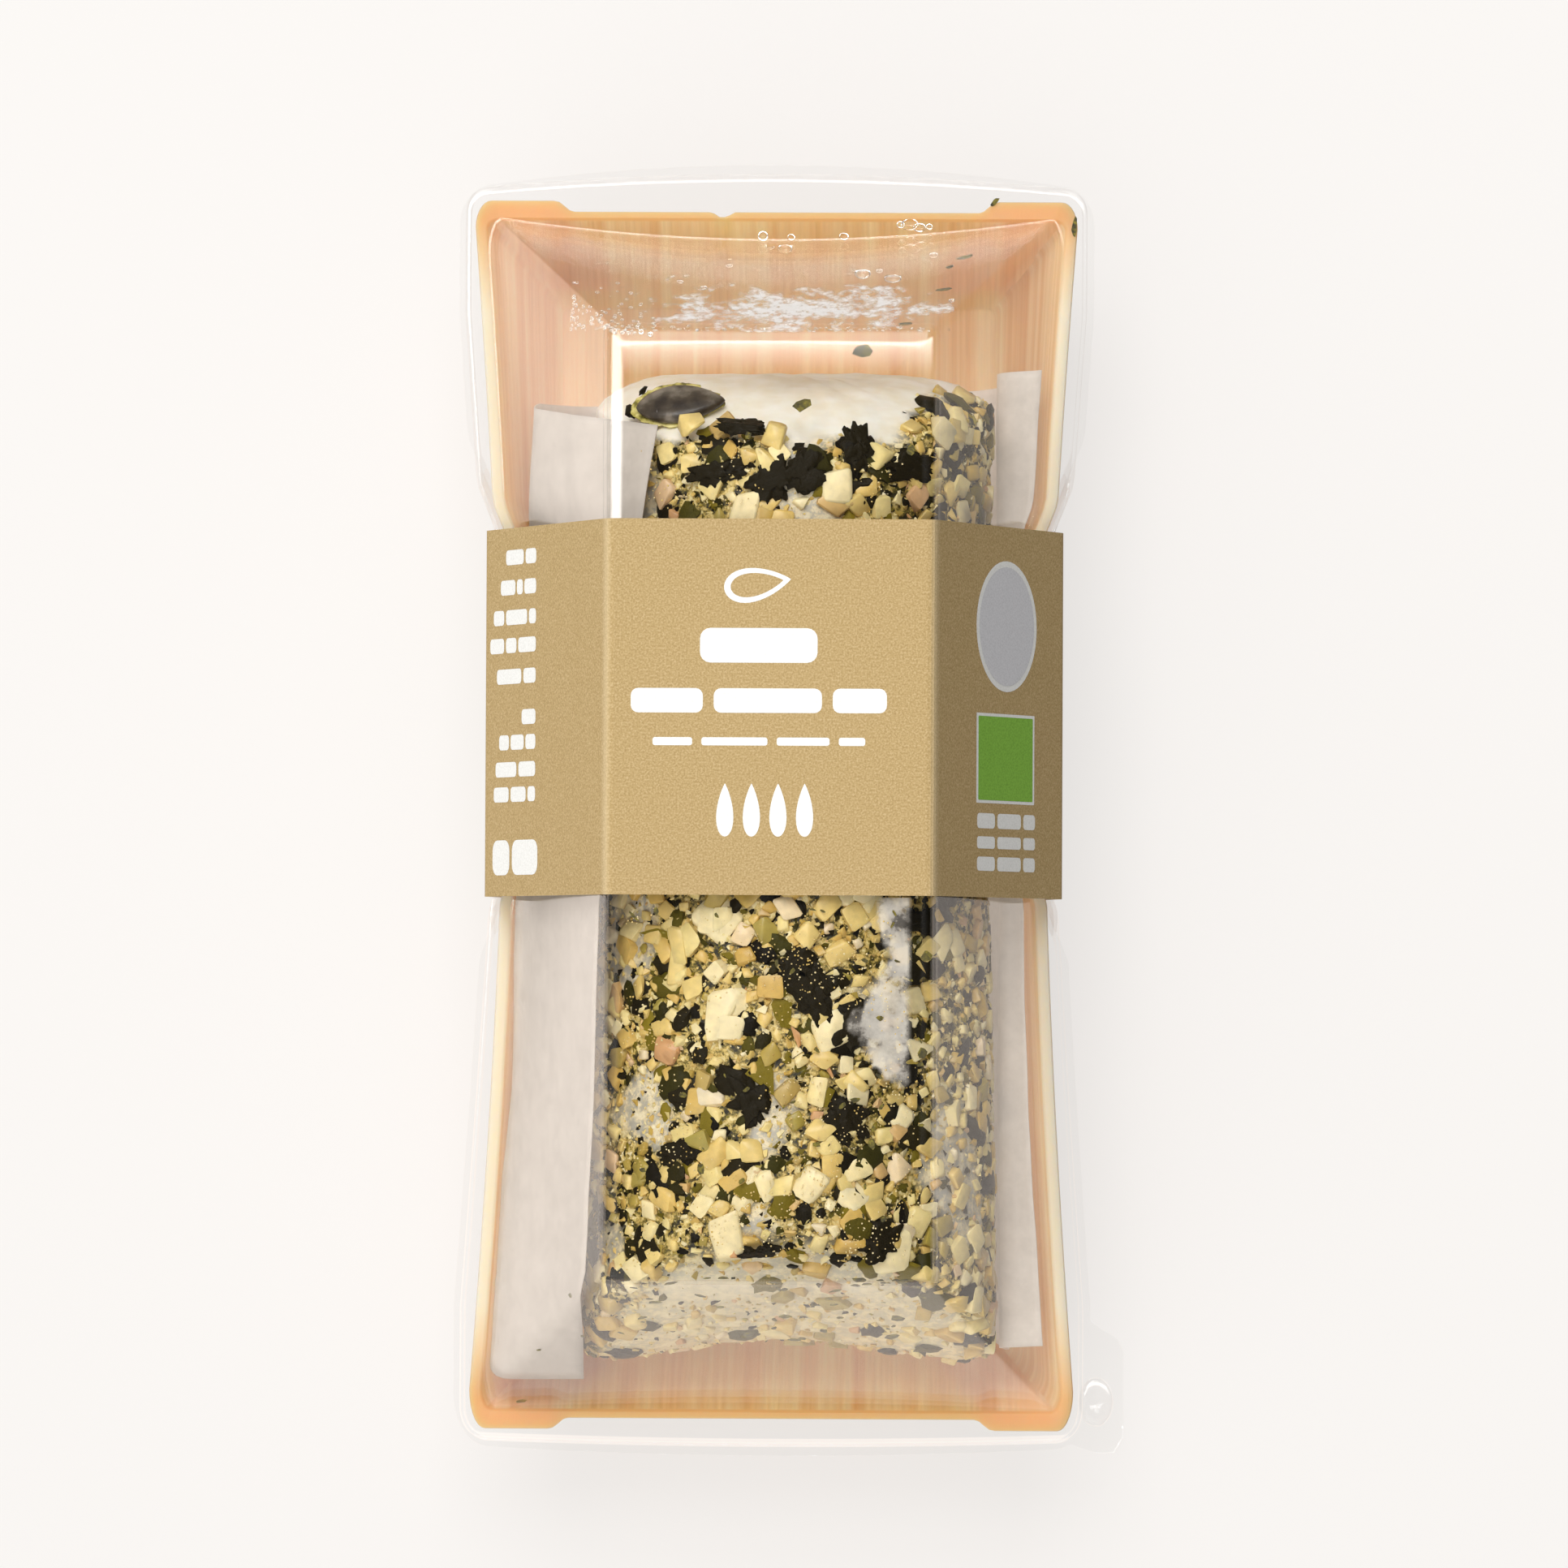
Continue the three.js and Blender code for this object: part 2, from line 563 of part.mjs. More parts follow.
// Where an end face lies along the pack, by the place in the section
function faceAt({ end, foremost, sides, turn, above, lean, below }, x, z) {
  const across = Math.abs(x - LOG_CENTRE_X) / LOG_HALF_WIDTH;
  const up = Math.max(0, z - foremost) / logHalfHeight;
  const down = Math.max(0, foremost - z) / logHalfHeight;
  return end + sides * across ** turn + above * up ** lean + below * down ** 2;
}

function logCore() {
  const around = 32;
  const barrelSteps = 12;
  const capScales = [0.3, 0.62, 0.86, 0.96];
  const edge = (scale) => LOG_EDGE_RADIUS * scale ** 8;
  const ringOf = (placeAt) => {
    const angles = Array.from({ length: around }, (_, i) => (-2 * Math.PI * i) / around);
    return angles.map(placeAt);
  };
  const capRing = (scale, face, inwards) => ringOf((angle) => {
    const flat = logOutline(angle, face.end, scale);
    return new THREE.Vector3(flat.x, faceAt(face, flat.x, flat.y) + inwards * edge(scale), flat.y);
  });
  const barrelRing = (t) => ringOf((angle) => {
    const flat = logOutline(angle, 0, 1);
    const low = faceAt(LOW_FACE, flat.x, flat.y) + edge(1);
    const high = faceAt(HIGH_FACE, flat.x, flat.y) - edge(1);
    const y = mix(low, high, t);
    const here = logOutline(angle, y, 1);
    return new THREE.Vector3(here.x, y, here.y);
  });
  const rings = capScales.map((scale) => capRing(scale, LOW_FACE, 1));
  for (let k = 0; k <= barrelSteps; k += 1) {
    rings.push(barrelRing(k / barrelSteps));
  }
  capScales.toReversed().forEach((scale) => rings.push(capRing(scale, HIGH_FACE, -1)));
  const middleOf = (face) => {
    const y = faceAt(face, LOG_CENTRE_X, logMiddle);
    return new THREE.Vector3(LOG_CENTRE_X, y, logMiddle);
  };
  return loft(rings, middleOf(LOW_FACE), middleOf(HIGH_FACE));
}

// A repeatable stream of numbers from 0 to 1
function seededDraw(seed) {
  let state = seed;
  return () => {
    state = (state * 1664525 + 1013904223) % 2 ** 32;
    return state / 2 ** 32;
  };
}

// One piece of chopped seed: a lump of twenty faces with its corners shifted at random, sunk into the cheese
function grain(draw, size, place, outward) {
  const lump = mergeVertices(
    new THREE.IcosahedronGeometry(1, 0).deleteAttribute("uv").deleteAttribute("normal"),
    1e-4,
  );
  const at = lump.attributes.position;
  for (let i = 0; i < at.count; i += 1) {
    const grow = mix(0.82, 1.12, draw());
    at.setXYZ(i, at.getX(i) * grow, at.getY(i) * grow, at.getZ(i) * grow);
  }
  lump.scale(size, size * mix(0.55, 0.95, draw()), size * mix(0.4, 0.6, draw()));
  lump.rotateZ(draw() * Math.PI);
  lump.rotateX(mix(-0.3, 0.3, draw()));
  lump.applyQuaternion(new THREE.Quaternion().setFromUnitVectors(new THREE.Vector3(0, 0, 1), outward));
  const middle = place.clone().addScaledVector(outward, -size * GRAIN_SINK);
  lump.translate(middle.x, middle.y, middle.z);
  return { size, lump };
}

function outwardAt(angle, y) {
  const step = 0.02;
  const before = logOutline(angle - step, y, 1);
  const after = logOutline(angle + step, y, 1);
  return new THREE.Vector3(after.y - before.y, 0, before.x - after.x).normalize();
}

// Chopped seed spread evenly round and along the log, a turn of the golden angle from piece to piece
function crust(draw) {
  const golden = Math.PI * (3 - Math.sqrt(5));
  const grains = [];
  for (let i = 0; i < GRAIN_COUNT; i += 1) {
    const angle = i * golden + mix(-0.12, 0.12, draw());
    const flat = logOutline(angle, 0, 1);
    const low = faceAt(LOW_FACE, flat.x, flat.y) + CRUST_BARE_RIM;
    const high = Math.min(CRUST_HIGH_END, faceAt(HIGH_FACE, flat.x, flat.y) - CRUST_BARE_RIM);
    const y = mix(low, high, (i + draw()) / GRAIN_COUNT);
    const here = logOutline(angle, y, 1);
    const size = mix(GRAIN_SIZES[0], GRAIN_SIZES[1], draw() ** 2);
    grains.push(grain(draw, size, new THREE.Vector3(here.x, y, here.y), outwardAt(angle, y)));
  }
  return grains;
}

// The one whole dark seed that sticks to the bare upper face
function wholeSeed(draw) {
  const y = faceAt(HIGH_FACE, WHOLE_SEED_X, WHOLE_SEED_HEIGHT);
  const place = new THREE.Vector3(WHOLE_SEED_X, y, WHOLE_SEED_HEIGHT);
  const outward = new THREE.Vector3(-0.2, 0.75, 0.63).normalize();
  return grain(draw, WHOLE_SEED_SIZE, place, outward);
}

function log() {
  const draw = seededDraw(GRAIN_SEED);
  const pieces = [...crust(draw), wholeSeed(draw)];
  pieces.sort((a, b) => b.size - a.size);
  const core = solidFrom(logCore());
  return geometryFrom(pieces.reduce((whole, { lump }) => whole.add(solidFrom(lump)), core));
}

// The pack: each piece with its own look
function piece(name, geometry, look) {
  const mesh = new THREE.Mesh(geometry, new THREE.MeshStandardMaterial(look));
  mesh.name = name;
  return mesh;
}

const clearSheet = { color: "#f4f4f2", roughness: 0.05, metalness: 0, transparent: true, opacity: 0.2 };

const pack = new THREE.Group();
pack.add(piece("tray", tray(), { color: "#e3bd92", roughness: 0.6, metalness: 0 }));
pack.add(piece("liner", liner(), { color: "#dcd4cb", roughness: 0.7, metalness: 0 }));
pack.add(piece("log", log(), { color: "#d9cc95", roughness: 0.5, metalness: 0 }));
pack.add(piece("lid", lid(), clearSheet));
pack.add(piece("sleeve", sleeve(), { color: "#b99d68", roughness: 0.8, metalness: 0 }));

export default pack;
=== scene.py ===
import json
import math
import random

import bmesh
import bpy
import numpy as np
from mathutils import Matrix, Vector, noise

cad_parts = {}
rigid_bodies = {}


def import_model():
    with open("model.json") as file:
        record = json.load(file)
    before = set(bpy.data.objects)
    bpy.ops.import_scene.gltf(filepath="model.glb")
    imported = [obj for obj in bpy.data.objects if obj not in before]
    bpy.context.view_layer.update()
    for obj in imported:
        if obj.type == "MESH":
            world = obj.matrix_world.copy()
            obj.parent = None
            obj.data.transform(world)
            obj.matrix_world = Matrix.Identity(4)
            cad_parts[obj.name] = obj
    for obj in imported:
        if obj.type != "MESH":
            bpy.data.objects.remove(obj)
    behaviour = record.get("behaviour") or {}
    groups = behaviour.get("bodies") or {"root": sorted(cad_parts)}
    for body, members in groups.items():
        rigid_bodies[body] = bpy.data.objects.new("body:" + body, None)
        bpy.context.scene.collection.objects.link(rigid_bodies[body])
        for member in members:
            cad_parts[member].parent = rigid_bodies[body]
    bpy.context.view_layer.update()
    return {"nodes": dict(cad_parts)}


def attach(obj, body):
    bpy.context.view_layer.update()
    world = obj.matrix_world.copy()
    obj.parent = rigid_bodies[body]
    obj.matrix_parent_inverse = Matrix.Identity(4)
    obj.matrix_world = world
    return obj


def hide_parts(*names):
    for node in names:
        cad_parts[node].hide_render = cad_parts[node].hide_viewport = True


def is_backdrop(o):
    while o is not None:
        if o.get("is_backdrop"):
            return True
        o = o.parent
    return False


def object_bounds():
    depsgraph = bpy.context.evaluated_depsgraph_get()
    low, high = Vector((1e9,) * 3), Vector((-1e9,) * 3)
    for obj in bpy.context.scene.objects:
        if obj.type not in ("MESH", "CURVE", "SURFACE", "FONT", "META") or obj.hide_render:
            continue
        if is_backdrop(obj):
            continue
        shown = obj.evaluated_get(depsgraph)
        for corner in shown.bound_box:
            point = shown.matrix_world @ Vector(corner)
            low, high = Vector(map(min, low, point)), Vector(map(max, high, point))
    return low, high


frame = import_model()

# Tray
# One sheet of sliced pale softwood veneer, scored and folded up into four leaning walls. The ends of the
# long walls turn the corners and are glued as tabs outside the short walls. The rim is a raw cut edge.
MM = 0.001
VENEER = 1.1
AIR = 0.15
BOARD = 0.45
FILM = 0.4
TRAY_UNDERSIDE = 2 * BOARD + AIR
TRAY_FLOOR = TRAY_UNDERSIDE + VENEER
RIM_HEIGHT = 19
RIM_HALF_WIDTH = 30.6
RIM_HALF_LENGTH = 60.8
RIM_BOW = 3.2
FLOOR_HALF_WIDTH = 22.4
FLOOR_HALF_LENGTH = 52
FLOOR_BOW = 0.3
TRAY_BOW_POWER = 1.5
TRAY_CORNER = 1.6
TRAY_SHIFT = -0.6
WALL_ACROSS = VENEER * 1.1
TAB_LENGTH = 10
TAB_TAPER = 1.8
END_THIN = 0.7
TAB_LOW = 4.5
CHIP_PLACE = -5.4
CHIP_HALF_WIDTH = 0.75
CHIP_DEPTH = 0.5
CHIP_FOOT = 17
SLEEVE_LOW_END = -9.0
SLEEVE_HIGH_END = 27.8
SLEEVE_FRONT_HALF = 15.95
SLEEVE_SIDE_HALF = 29.1
SLEEVE_SIDE_HEIGHT = 20
SLEEVE_BASE_HALF = 23.6
SLEEVE_TOP = 44.8
SLEEVE_RELIEF = 0.4


def mix(a, b, t):
    return a + (b - a) * t


def smooth(t):
    """A soft step from 0 to 1."""
    t = np.clip(t, 0, 1)
    return t * t * (3 - 2 * t)


def linear(code):
    """An sRGB hex colour as the linear colour that shaders take."""
    parts = [int(code[i : i + 2], 16) / 255 for i in (1, 3, 5)]
    return (*[p / 12.92 if p <= 0.04045 else ((p + 0.055) / 1.055) ** 2.4 for p in parts], 1)


def add_node(tree, kind, inputs=(), stops=(), **settings):
    """Adds a node, a shader node if its kind says no more, and sets its settings, inputs and ramp stops.

    An input is a value, a socket, or a node whose first output is linked.
    """
    made = tree.nodes.new(kind if "Node" in kind else "ShaderNode" + kind)
    for name, value in settings.items():
        setattr(made, name, value)
    for name, value in dict(inputs).items():
        source = value.outputs[0] if isinstance(value, bpy.types.Node) else value
        if isinstance(source, bpy.types.NodeSocket):
            tree.links.new(source, made.inputs[name])
        else:
            made.inputs[name].default_value = source
    for i, (place, code) in enumerate(stops):
        stop = made.color_ramp.elements[i] if i < 2 else made.color_ramp.elements.new(place)
        stop.position = place
        stop.color = linear(code)
    return made


def new_material(name):
    """An empty material and its node tree."""
    material = bpy.data.materials.new(name)
    material.use_nodes = True
    material.node_tree.nodes.clear()
    return material, material.node_tree


def new_piece(name, points, faces, material, sharp=None):
    """A mesh object at the origin from points in millimetres."""
    mesh = bpy.data.meshes.new(name)
    mesh.from_pydata((np.asarray(points, float) * MM).tolist(), [], faces)
    mesh.shade_smooth()
    if sharp:
        mesh.set_sharp_from_angle(angle=math.radians(sharp))
    mesh.materials.append(material)
    made = bpy.data.objects.new(name, mesh)
    bpy.context.scene.collection.objects.link(made)
    return made


def loft(rings, first=None, last=None):
    """Points and faces of a skin through closed rings of equally many points, with fans over its ends."""
    count = len(rings[0])
    points = [p for ring in rings for p in ring]
    faces = []
    for r in range(len(rings) - 1):
        for i in range(count):
            a = r * count + i
            b = r * count + (i + 1) % count
            faces.append((a, b, b + count, a + count))
    top = (len(rings) - 1) * count
    if first is not None:
        points.append(first)
        faces += [(len(points) - 1, (i + 1) % count, i) for i in range(count)]
    if last is not None:
        points.append(last)
        faces += [(len(points) - 1, top + i, top + (i + 1) % count) for i in range(count)]
    return points, faces


def room_in_sleeve(y, z):
    """Half the width that the sleeve leaves free at a height, and more of it beyond its ends."""
    below = (SLEEVE_SIDE_HALF - SLEEVE_BASE_HALF) / SLEEVE_SIDE_HEIGHT
    above = (SLEEVE_FRONT_HALF - SLEEVE_SIDE_HALF) / (SLEEVE_TOP - SLEEVE_SIDE_HEIGHT)
    low = SLEEVE_BASE_HALF + below * z - BOARD * math.hypot(1, below)
    high = SLEEVE_SIDE_HALF + above * (z - SLEEVE_SIDE_HEIGHT) - BOARD * math.hypot(1, above)
    beyond = np.maximum(0, np.maximum(SLEEVE_LOW_END - y, y - SLEEVE_HIGH_END))
    return min(low, high) - AIR + beyond * SLEEVE_RELIEF


def bowed_side(y, half_width, bow, reach, power):
    """Half the width along a side that bows in from its ends to a waist."""
    return half_width - bow * (1 - np.minimum(1, np.abs(y) / reach) ** power)


def plan_ring(side, end, corner, z, straight):
    """One closed outline of the pack seen from the front, counter-clockwise from its lower right."""
    along = np.linspace(-straight, straight, 109)
    reach = float(side(np.array([straight]))[0]) - corner
    across = np.linspace(reach, -reach, 111)
    quarter = np.linspace(0, math.pi / 2, 8)[1:-1]

    def arc(sign_x, sign_y, start):
        top = float(end(np.array([reach]), sign_y)[0])
        x = sign_x * reach + corner * np.cos(quarter + start)
        return x, sign_y * straight + (top - straight) * np.sin(quarter + start)

    stretches = [
        (side(along), along),
        arc(1, 1, 0),
        (across, end(across, 1)),
        arc(-1, 1, math.pi / 2),
        (-side(along[::-1]), along[::-1]),
        arc(-1, -1, math.pi),
        (across[::-1], -end(across[::-1], -1)),
        arc(1, -1, 1.5 * math.pi),
    ]
    x = np.concatenate([s[0] for s in stretches])
    y = np.concatenate([s[1] for s in stretches])
    return np.stack([x, y, np.full_like(x, z)], axis=1)


def tray_side(y, z):
    floor = bowed_side(y, FLOOR_HALF_WIDTH + WALL_ACROSS, FLOOR_BOW, RIM_HALF_LENGTH, TRAY_BOW_POWER)
    free = bowed_side(y, RIM_HALF_WIDTH, RIM_BOW, RIM_HALF_LENGTH, TRAY_BOW_POWER)
    rim = np.minimum(free, room_in_sleeve(y, RIM_HEIGHT) - FILM - 3 * AIR)
    return mix(floor, rim, (z - TRAY_FLOOR) / (RIM_HEIGHT - TRAY_FLOOR))


def tray_end(z):
    rise = (z - TRAY_FLOOR) / (RIM_HEIGHT - TRAY_FLOOR)
    return mix(FLOOR_HALF_LENGTH + WALL_ACROSS, RIM_HALF_LENGTH, rise)


def tray_ring(z, inset, tab):
    """A level of the tray, with tabs of a given thickness on the outside of its end walls."""
    half_length = tray_end(z) - inset * END_THIN
    half_width = float(tray_side(np.array([RIM_HALF_LENGTH]), z)[0]) - inset
    corner = TRAY_CORNER - inset / 2
    tab_start = half_width - TAB_LENGTH

    def end(x, sign):
        widened = tab * smooth((np.abs(x) - tab_start) / TAB_TAPER)
        chip = 0
        if sign > 0 and tab > 0:
            chip = CHIP_DEPTH * smooth(1.5 - np.abs(x - CHIP_PLACE) / CHIP_HALF_WIDTH)
        return half_length + sign * TRAY_SHIFT + widened - chip * smooth((z - CHIP_FOOT) / 2)

    straight = half_length - corner - abs(TRAY_SHIFT)
    return plan_ring(lambda y: tray_side(y, z) - inset, end, corner, z, straight)


EDGE_ROUND = 0.2
tray_rings = [
    tray_ring(TRAY_UNDERSIDE, 0.8, 0),
    tray_ring(TRAY_UNDERSIDE + EDGE_ROUND, 0.4, 0),
    tray_ring(TRAY_UNDERSIDE + 0.8, AIR, 0),
    tray_ring(TAB_LOW, 0, 0),
    tray_ring(TAB_LOW + 0.1, 0, VENEER - EDGE_ROUND),
    tray_ring(TAB_LOW + 0.3, 0, VENEER),
    tray_ring(mix(TAB_LOW, RIM_HEIGHT, 0.5), 0, VENEER),
    tray_ring(RIM_HEIGHT - EDGE_ROUND, 0, VENEER),
    tray_ring(RIM_HEIGHT, EDGE_ROUND, VENEER),
    tray_ring(RIM_HEIGHT, WALL_ACROSS - EDGE_ROUND, 0),
    tray_ring(RIM_HEIGHT - EDGE_ROUND, WALL_ACROSS, 0),
    tray_ring(mix(TRAY_FLOOR, RIM_HEIGHT, 0.6), WALL_ACROSS, 0),
    tray_ring(mix(TRAY_FLOOR, RIM_HEIGHT, 0.3), WALL_ACROSS, 0),
    tray_ring(TRAY_FLOOR + 0.5, WALL_ACROSS, 0),
    tray_ring(TRAY_FLOOR + 0.1, WALL_ACROSS + 0.2, 0),
    tray_ring(TRAY_FLOOR, WALL_ACROSS + 0.5, 0),
]

# Sliced softwood: the growth rings show as soft pale brown bands along the grain, between fine fibres
veneer, tree = new_material("raw softwood veneer")
sheet = add_node(tree, "TexCoord").outputs["UV"]
band_place = add_node(tree, "Mapping", {"Vector": sheet, "Scale": (1, 0.012, 1)}).outputs[0]
bands = add_node(tree, "TexNoise", {"Vector": band_place, "Scale": 0.55, "Detail": 4.0, "Roughness": 0.6})
fibre_place = add_node(tree, "Mapping", {"Vector": sheet, "Scale": (1, 0.035, 1)}).outputs[0]
fibres = add_node(tree, "TexNoise", {"Vector": fibre_place, "Scale": 3.2, "Detail": 3.0})
cloudy = add_node(tree, "TexNoise", {"Vector": sheet, "Scale": 0.06, "Detail": 2.0})
wood = add_node(
    tree, "ValToRGB", {"Fac": bands},
    stops=[(0.25, "#d9a170"), (0.72, "#f1d1ab"), (0.42, "#e4b484"), (0.55, "#ebc297")],
)
fibre_tone = add_node(
    tree, "MapRange", {"Value": fibres, "From Min": 0.25, "From Max": 0.75, "To Min": 0.92, "To Max": 1.04},
)
cloud_tone = add_node(
    tree, "MapRange", {"Value": cloudy, "From Min": 0.3, "From Max": 0.7, "To Min": 0.9, "To Max": 1.06},
)
tone = add_node(tree, "Math", {0: fibre_tone, 1: cloud_tone}, operation="MULTIPLY")
toned = add_node(tree, "VectorMath", {0: wood, "Scale": tone}, operation="SCALE")
spot = add_node(tree, "SeparateXYZ", {0: add_node(tree, "TexCoord").outputs["Object"]})
rim = add_node(
    tree, "MapRange",
    {"Value": spot.outputs["Z"], "From Min": (RIM_HEIGHT - 0.5) * MM, "From Max": (RIM_HEIGHT - 0.15) * MM},
)
from_waist = add_node(tree, "Math", {0: spot.outputs["Y"]}, operation="ABSOLUTE")
at_ends = add_node(
    tree, "MapRange", {"Value": from_waist, "From Min": 50 * MM, "From Max": (RIM_HALF_LENGTH - 1.5) * MM},
)
edge_tone = add_node(tree, "Mix", {0: at_ends, 6: linear("#eed5bb"), 7: linear("#e3a975")}, data_type="RGBA")
raw_edge = add_node(tree, "Mix", {0: rim, 6: toned, 7: edge_tone.outputs[2]}, data_type="RGBA")
grain = add_node(tree, "Bump", {"Height": fibres, "Strength": 0.35, "Distance": 0.06 * MM})
# Painted light: the veneer also glows faintly in its own colour, for light coming through the thin wood
skin = add_node(
    tree, "BsdfPrincipled",
    {
        "Base Color": raw_edge.outputs[2], "Roughness": 0.62, "Normal": grain, "Subsurface Weight": 0.8,
        "Subsurface Radius": (5.0, 3.0, 1.6), "Subsurface Scale": MM, "Emission Color": raw_edge.outputs[2],
        "Emission Strength": 0.08,
    },
)
add_node(tree, "OutputMaterial", {"Surface": skin})

points, faces = loft(tray_rings, (0, 0, TRAY_UNDERSIDE), (0, 0, TRAY_FLOOR))
tray = new_piece("veneer_tray", points, faces, veneer, sharp=40)


SIDE_START = 30
END_START = 60


def unfold(mesh):
    """A UV map in millimetres of the sheet laid flat, with the grain along V on floor and long walls."""
    layer = mesh.uv_layers.new(name="sheet").data
    for face in mesh.polygons:
        n = face.normal
        leaning = abs(n.z) < 0.75
        for loop in face.loop_indices:
            x, y, z = mesh.vertices[mesh.loops[loop].vertex_index].co / MM
            if leaning and abs(n.x) > abs(n.y):
                place = (math.copysign(SIDE_START + z, x), y)
            elif leaning and abs(x) > RIM_HALF_WIDTH - TAB_LENGTH - 3 and n.y * y > 0 and z > TAB_LOW - 1:
                place = (math.copysign(SIDE_START + z, x), x)
            elif leaning:
                place = (x, math.copysign(END_START + z, y))
            else:
                place = (x, y)
            layer[loop].uv = place


unfold(tray.data)
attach(tray, "root")
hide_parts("tray")

# Liner
# A sheet of greaseproof paper under the cheese, cut a little shorter than the tray. Its left side stands up
# along the walls and folds in over the log's shoulder, and its right side stands beside the log.
PAPER = 0.12
BEND_SHARE = 0.27
LOW_ENDS = (-57.2, -57.6, -53.8)
HIGH_ENDS = (37.2, 40.8, 44.2)
PANEL_HALF_WIDTH = 15.7
PANEL_HALF_LENGTH = 46.3
LID_TOP = 44.2
FLANGE_TOP = RIM_HEIGHT + AIR + FILM
FOOT_HIGH = (57.2, 2.4)
FOOT_LOW = (59.6, 0.6)
FOOT_INSET = 1.3
PAPER_ROOM = 0.5


def foot_end(share, sign):
    """Where the lid's end wall meets its flange, at a share of the way from the middle to the side."""
    middle, bow = FOOT_HIGH if sign > 0 else FOOT_LOW
    return middle + bow * share**2


def foot_side(y):
    return tray_side(y, RIM_HEIGHT) - FOOT_INSET


def squeeze_at(y):
    """How far the sleeve squeezes the pack at a place along it, from 0 to 1."""
    middle = (SLEEVE_LOW_END + SLEEVE_HIGH_END) / 2
    return np.maximum(0, 1 - ((y - middle) / 45) ** 2)


def lower_of(a, b, softness):
    """The smaller of two heights, with a soft turn from one to the other."""
    return min(a, b) - softness * math.log1p(math.exp(-abs(a - b) / softness))


def paper_section(y):
    """The sheet's line across the pack, from its left free edge to its right one, as x and z."""
    along = min(1, max(0, (y - LOW_ENDS[1]) / (HIGH_ENDS[1] - LOW_ENDS[1])))
    steepness = (LID_TOP - FLANGE_TOP) / (foot_end(0, y) - PANEL_HALF_LENGTH)
    ceiling = LID_TOP - FILM - 2 * PAPER_ROOM - max(0, abs(y) - PANEL_HALF_LENGTH) * steepness
    floor = TRAY_FLOOR + AIR
    edge_height = lower_of(mix(36.6, 42.7, along**0.7), ceiling, 3)
    widest = mix(28.2, 24.1, along)
    bends = [
        (-mix(18.7, 10.6, along**2), edge_height), (-23.2, lower_of(31, ceiling - PAPER_ROOM, 3)),
        (-widest, lower_of(23.5, ceiling - 2, 0.8)), (-widest, 17), (-(widest - 2), 9), (-19.8, floor),
        (-15.5, floor), (16.5, floor), (20.4, floor), (24.4, 8), (mix(23.2, 22.2, along), 15),
        (mix(22.9, 22.1, along), 19.2), (mix(28.9, 27.9, along), 20.2),
    ]
    line = np.array(bends)
    for _ in range(4):
        near = mix(line[:-1], line[1:], 0.25)
        far = mix(line[:-1], line[1:], 0.75)
        line = np.concatenate([line[:1], np.stack([near, far], axis=1).reshape(-1, 2), line[-1:]])
    for p in line:
        down = (LID_TOP - p[1]) / (LID_TOP - FLANGE_TOP)
        wall = mix(PANEL_HALF_WIDTH, float(foot_side(y)), down) - FILM - AIR
        if p[1] < RIM_HEIGHT:
            wall = float(tray_side(y, p[1])) - WALL_ACROSS
        p[0] = min(wall - PAPER_ROOM, max(PAPER_ROOM - wall, p[0]))
    lengths = np.concatenate([[0], np.cumsum(np.hypot(*np.diff(line, axis=0).T))])
    return line, lengths / lengths[-1]


def paper_end(ends, share):
    if share < BEND_SHARE:
        return mix(ends[0], ends[1], share / BEND_SHARE)
    return mix(ends[1], ends[2], (share - BEND_SHARE) / (1 - BEND_SHARE))


across_shares = np.linspace(0, 1, 90)
along_shares = np.linspace(0, 1, 120)
stations = np.linspace(min(LOW_ENDS), max(HIGH_ENDS), 90)
section_x = np.zeros((len(stations), len(across_shares)))
section_z = np.zeros((len(stations), len(across_shares)))
for r, y in enumerate(stations):
    line, shares = paper_section(y)
    section_x[r] = np.interp(across_shares, shares, line[:, 0])
    section_z[r] = np.interp(across_shares, shares, line[:, 1])
points = []
for t in along_shares:
    for c, s in enumerate(across_shares):
        z = float(section_z[0, c])
        low_limit = WALL_ACROSS - tray_end(min(z, RIM_HEIGHT)) + TRAY_SHIFT + PAPER_ROOM
        rounded = 3.6 * smooth((s - 0.08) / 0.12) * (1 - smooth((s - 0.5) / 0.3))
        y = mix(max(paper_end(LOW_ENDS, s) + rounded, low_limit), paper_end(HIGH_ENDS, s), t)
        x = float(np.interp(y, stations, section_x[:, c]))
        z = float(np.interp(y, stations, section_z[:, c]))
        wave = noise.noise(Vector((x * 0.09, y * 0.05, z * 0.09))) * 0.35
        wave += noise.noise(Vector((x * 0.3, y * 0.22, z * 0.3))) * 0.06
        inwards = -1 if x > 0 else 1
        points.append((x + inwards * wave * smooth((z - 4) / 8), y, z))
columns = len(across_shares)
faces = [
    (r * columns + c, r * columns + c + 1, (r + 1) * columns + c + 1, (r + 1) * columns + c)
    for r in range(len(along_shares) - 1)
    for c in range(columns - 1)
]

# Greaseproof paper: beaten pulp pressed smooth, warm grey white, with a faint cloud of fibres in it
paper, tree = new_material("greaseproof paper")
place = add_node(tree, "TexCoord").outputs["Object"]
clouds = add_node(tree, "TexNoise", {"Vector": place, "Scale": 380.0, "Detail": 5.0, "Roughness": 0.65})
fuzz = add_node(tree, "TexNoise", {"Vector": place, "Scale": 1900.0, "Detail": 2.0})
pulp = add_node(tree, "ValToRGB", {"Fac": clouds}, stops=[(0.3, "#b6aca1"), (0.7, "#c7bdb2")])
spot = add_node(tree, "SeparateXYZ", {0: place})
# Painted light: the paper glows in its own colour, a little on the left, more on the right in the log's
# shade
painted_glow = add_node(
    tree, "MapRange",
    {"Value": spot.outputs["X"], "From Min": -0.01, "From Max": 0.02, "To Min": 0.06, "To Max": 0.42},
)
cockle = add_node(tree, "Bump", {"Height": fuzz, "Strength": 0.25, "Distance": 0.03 * MM})
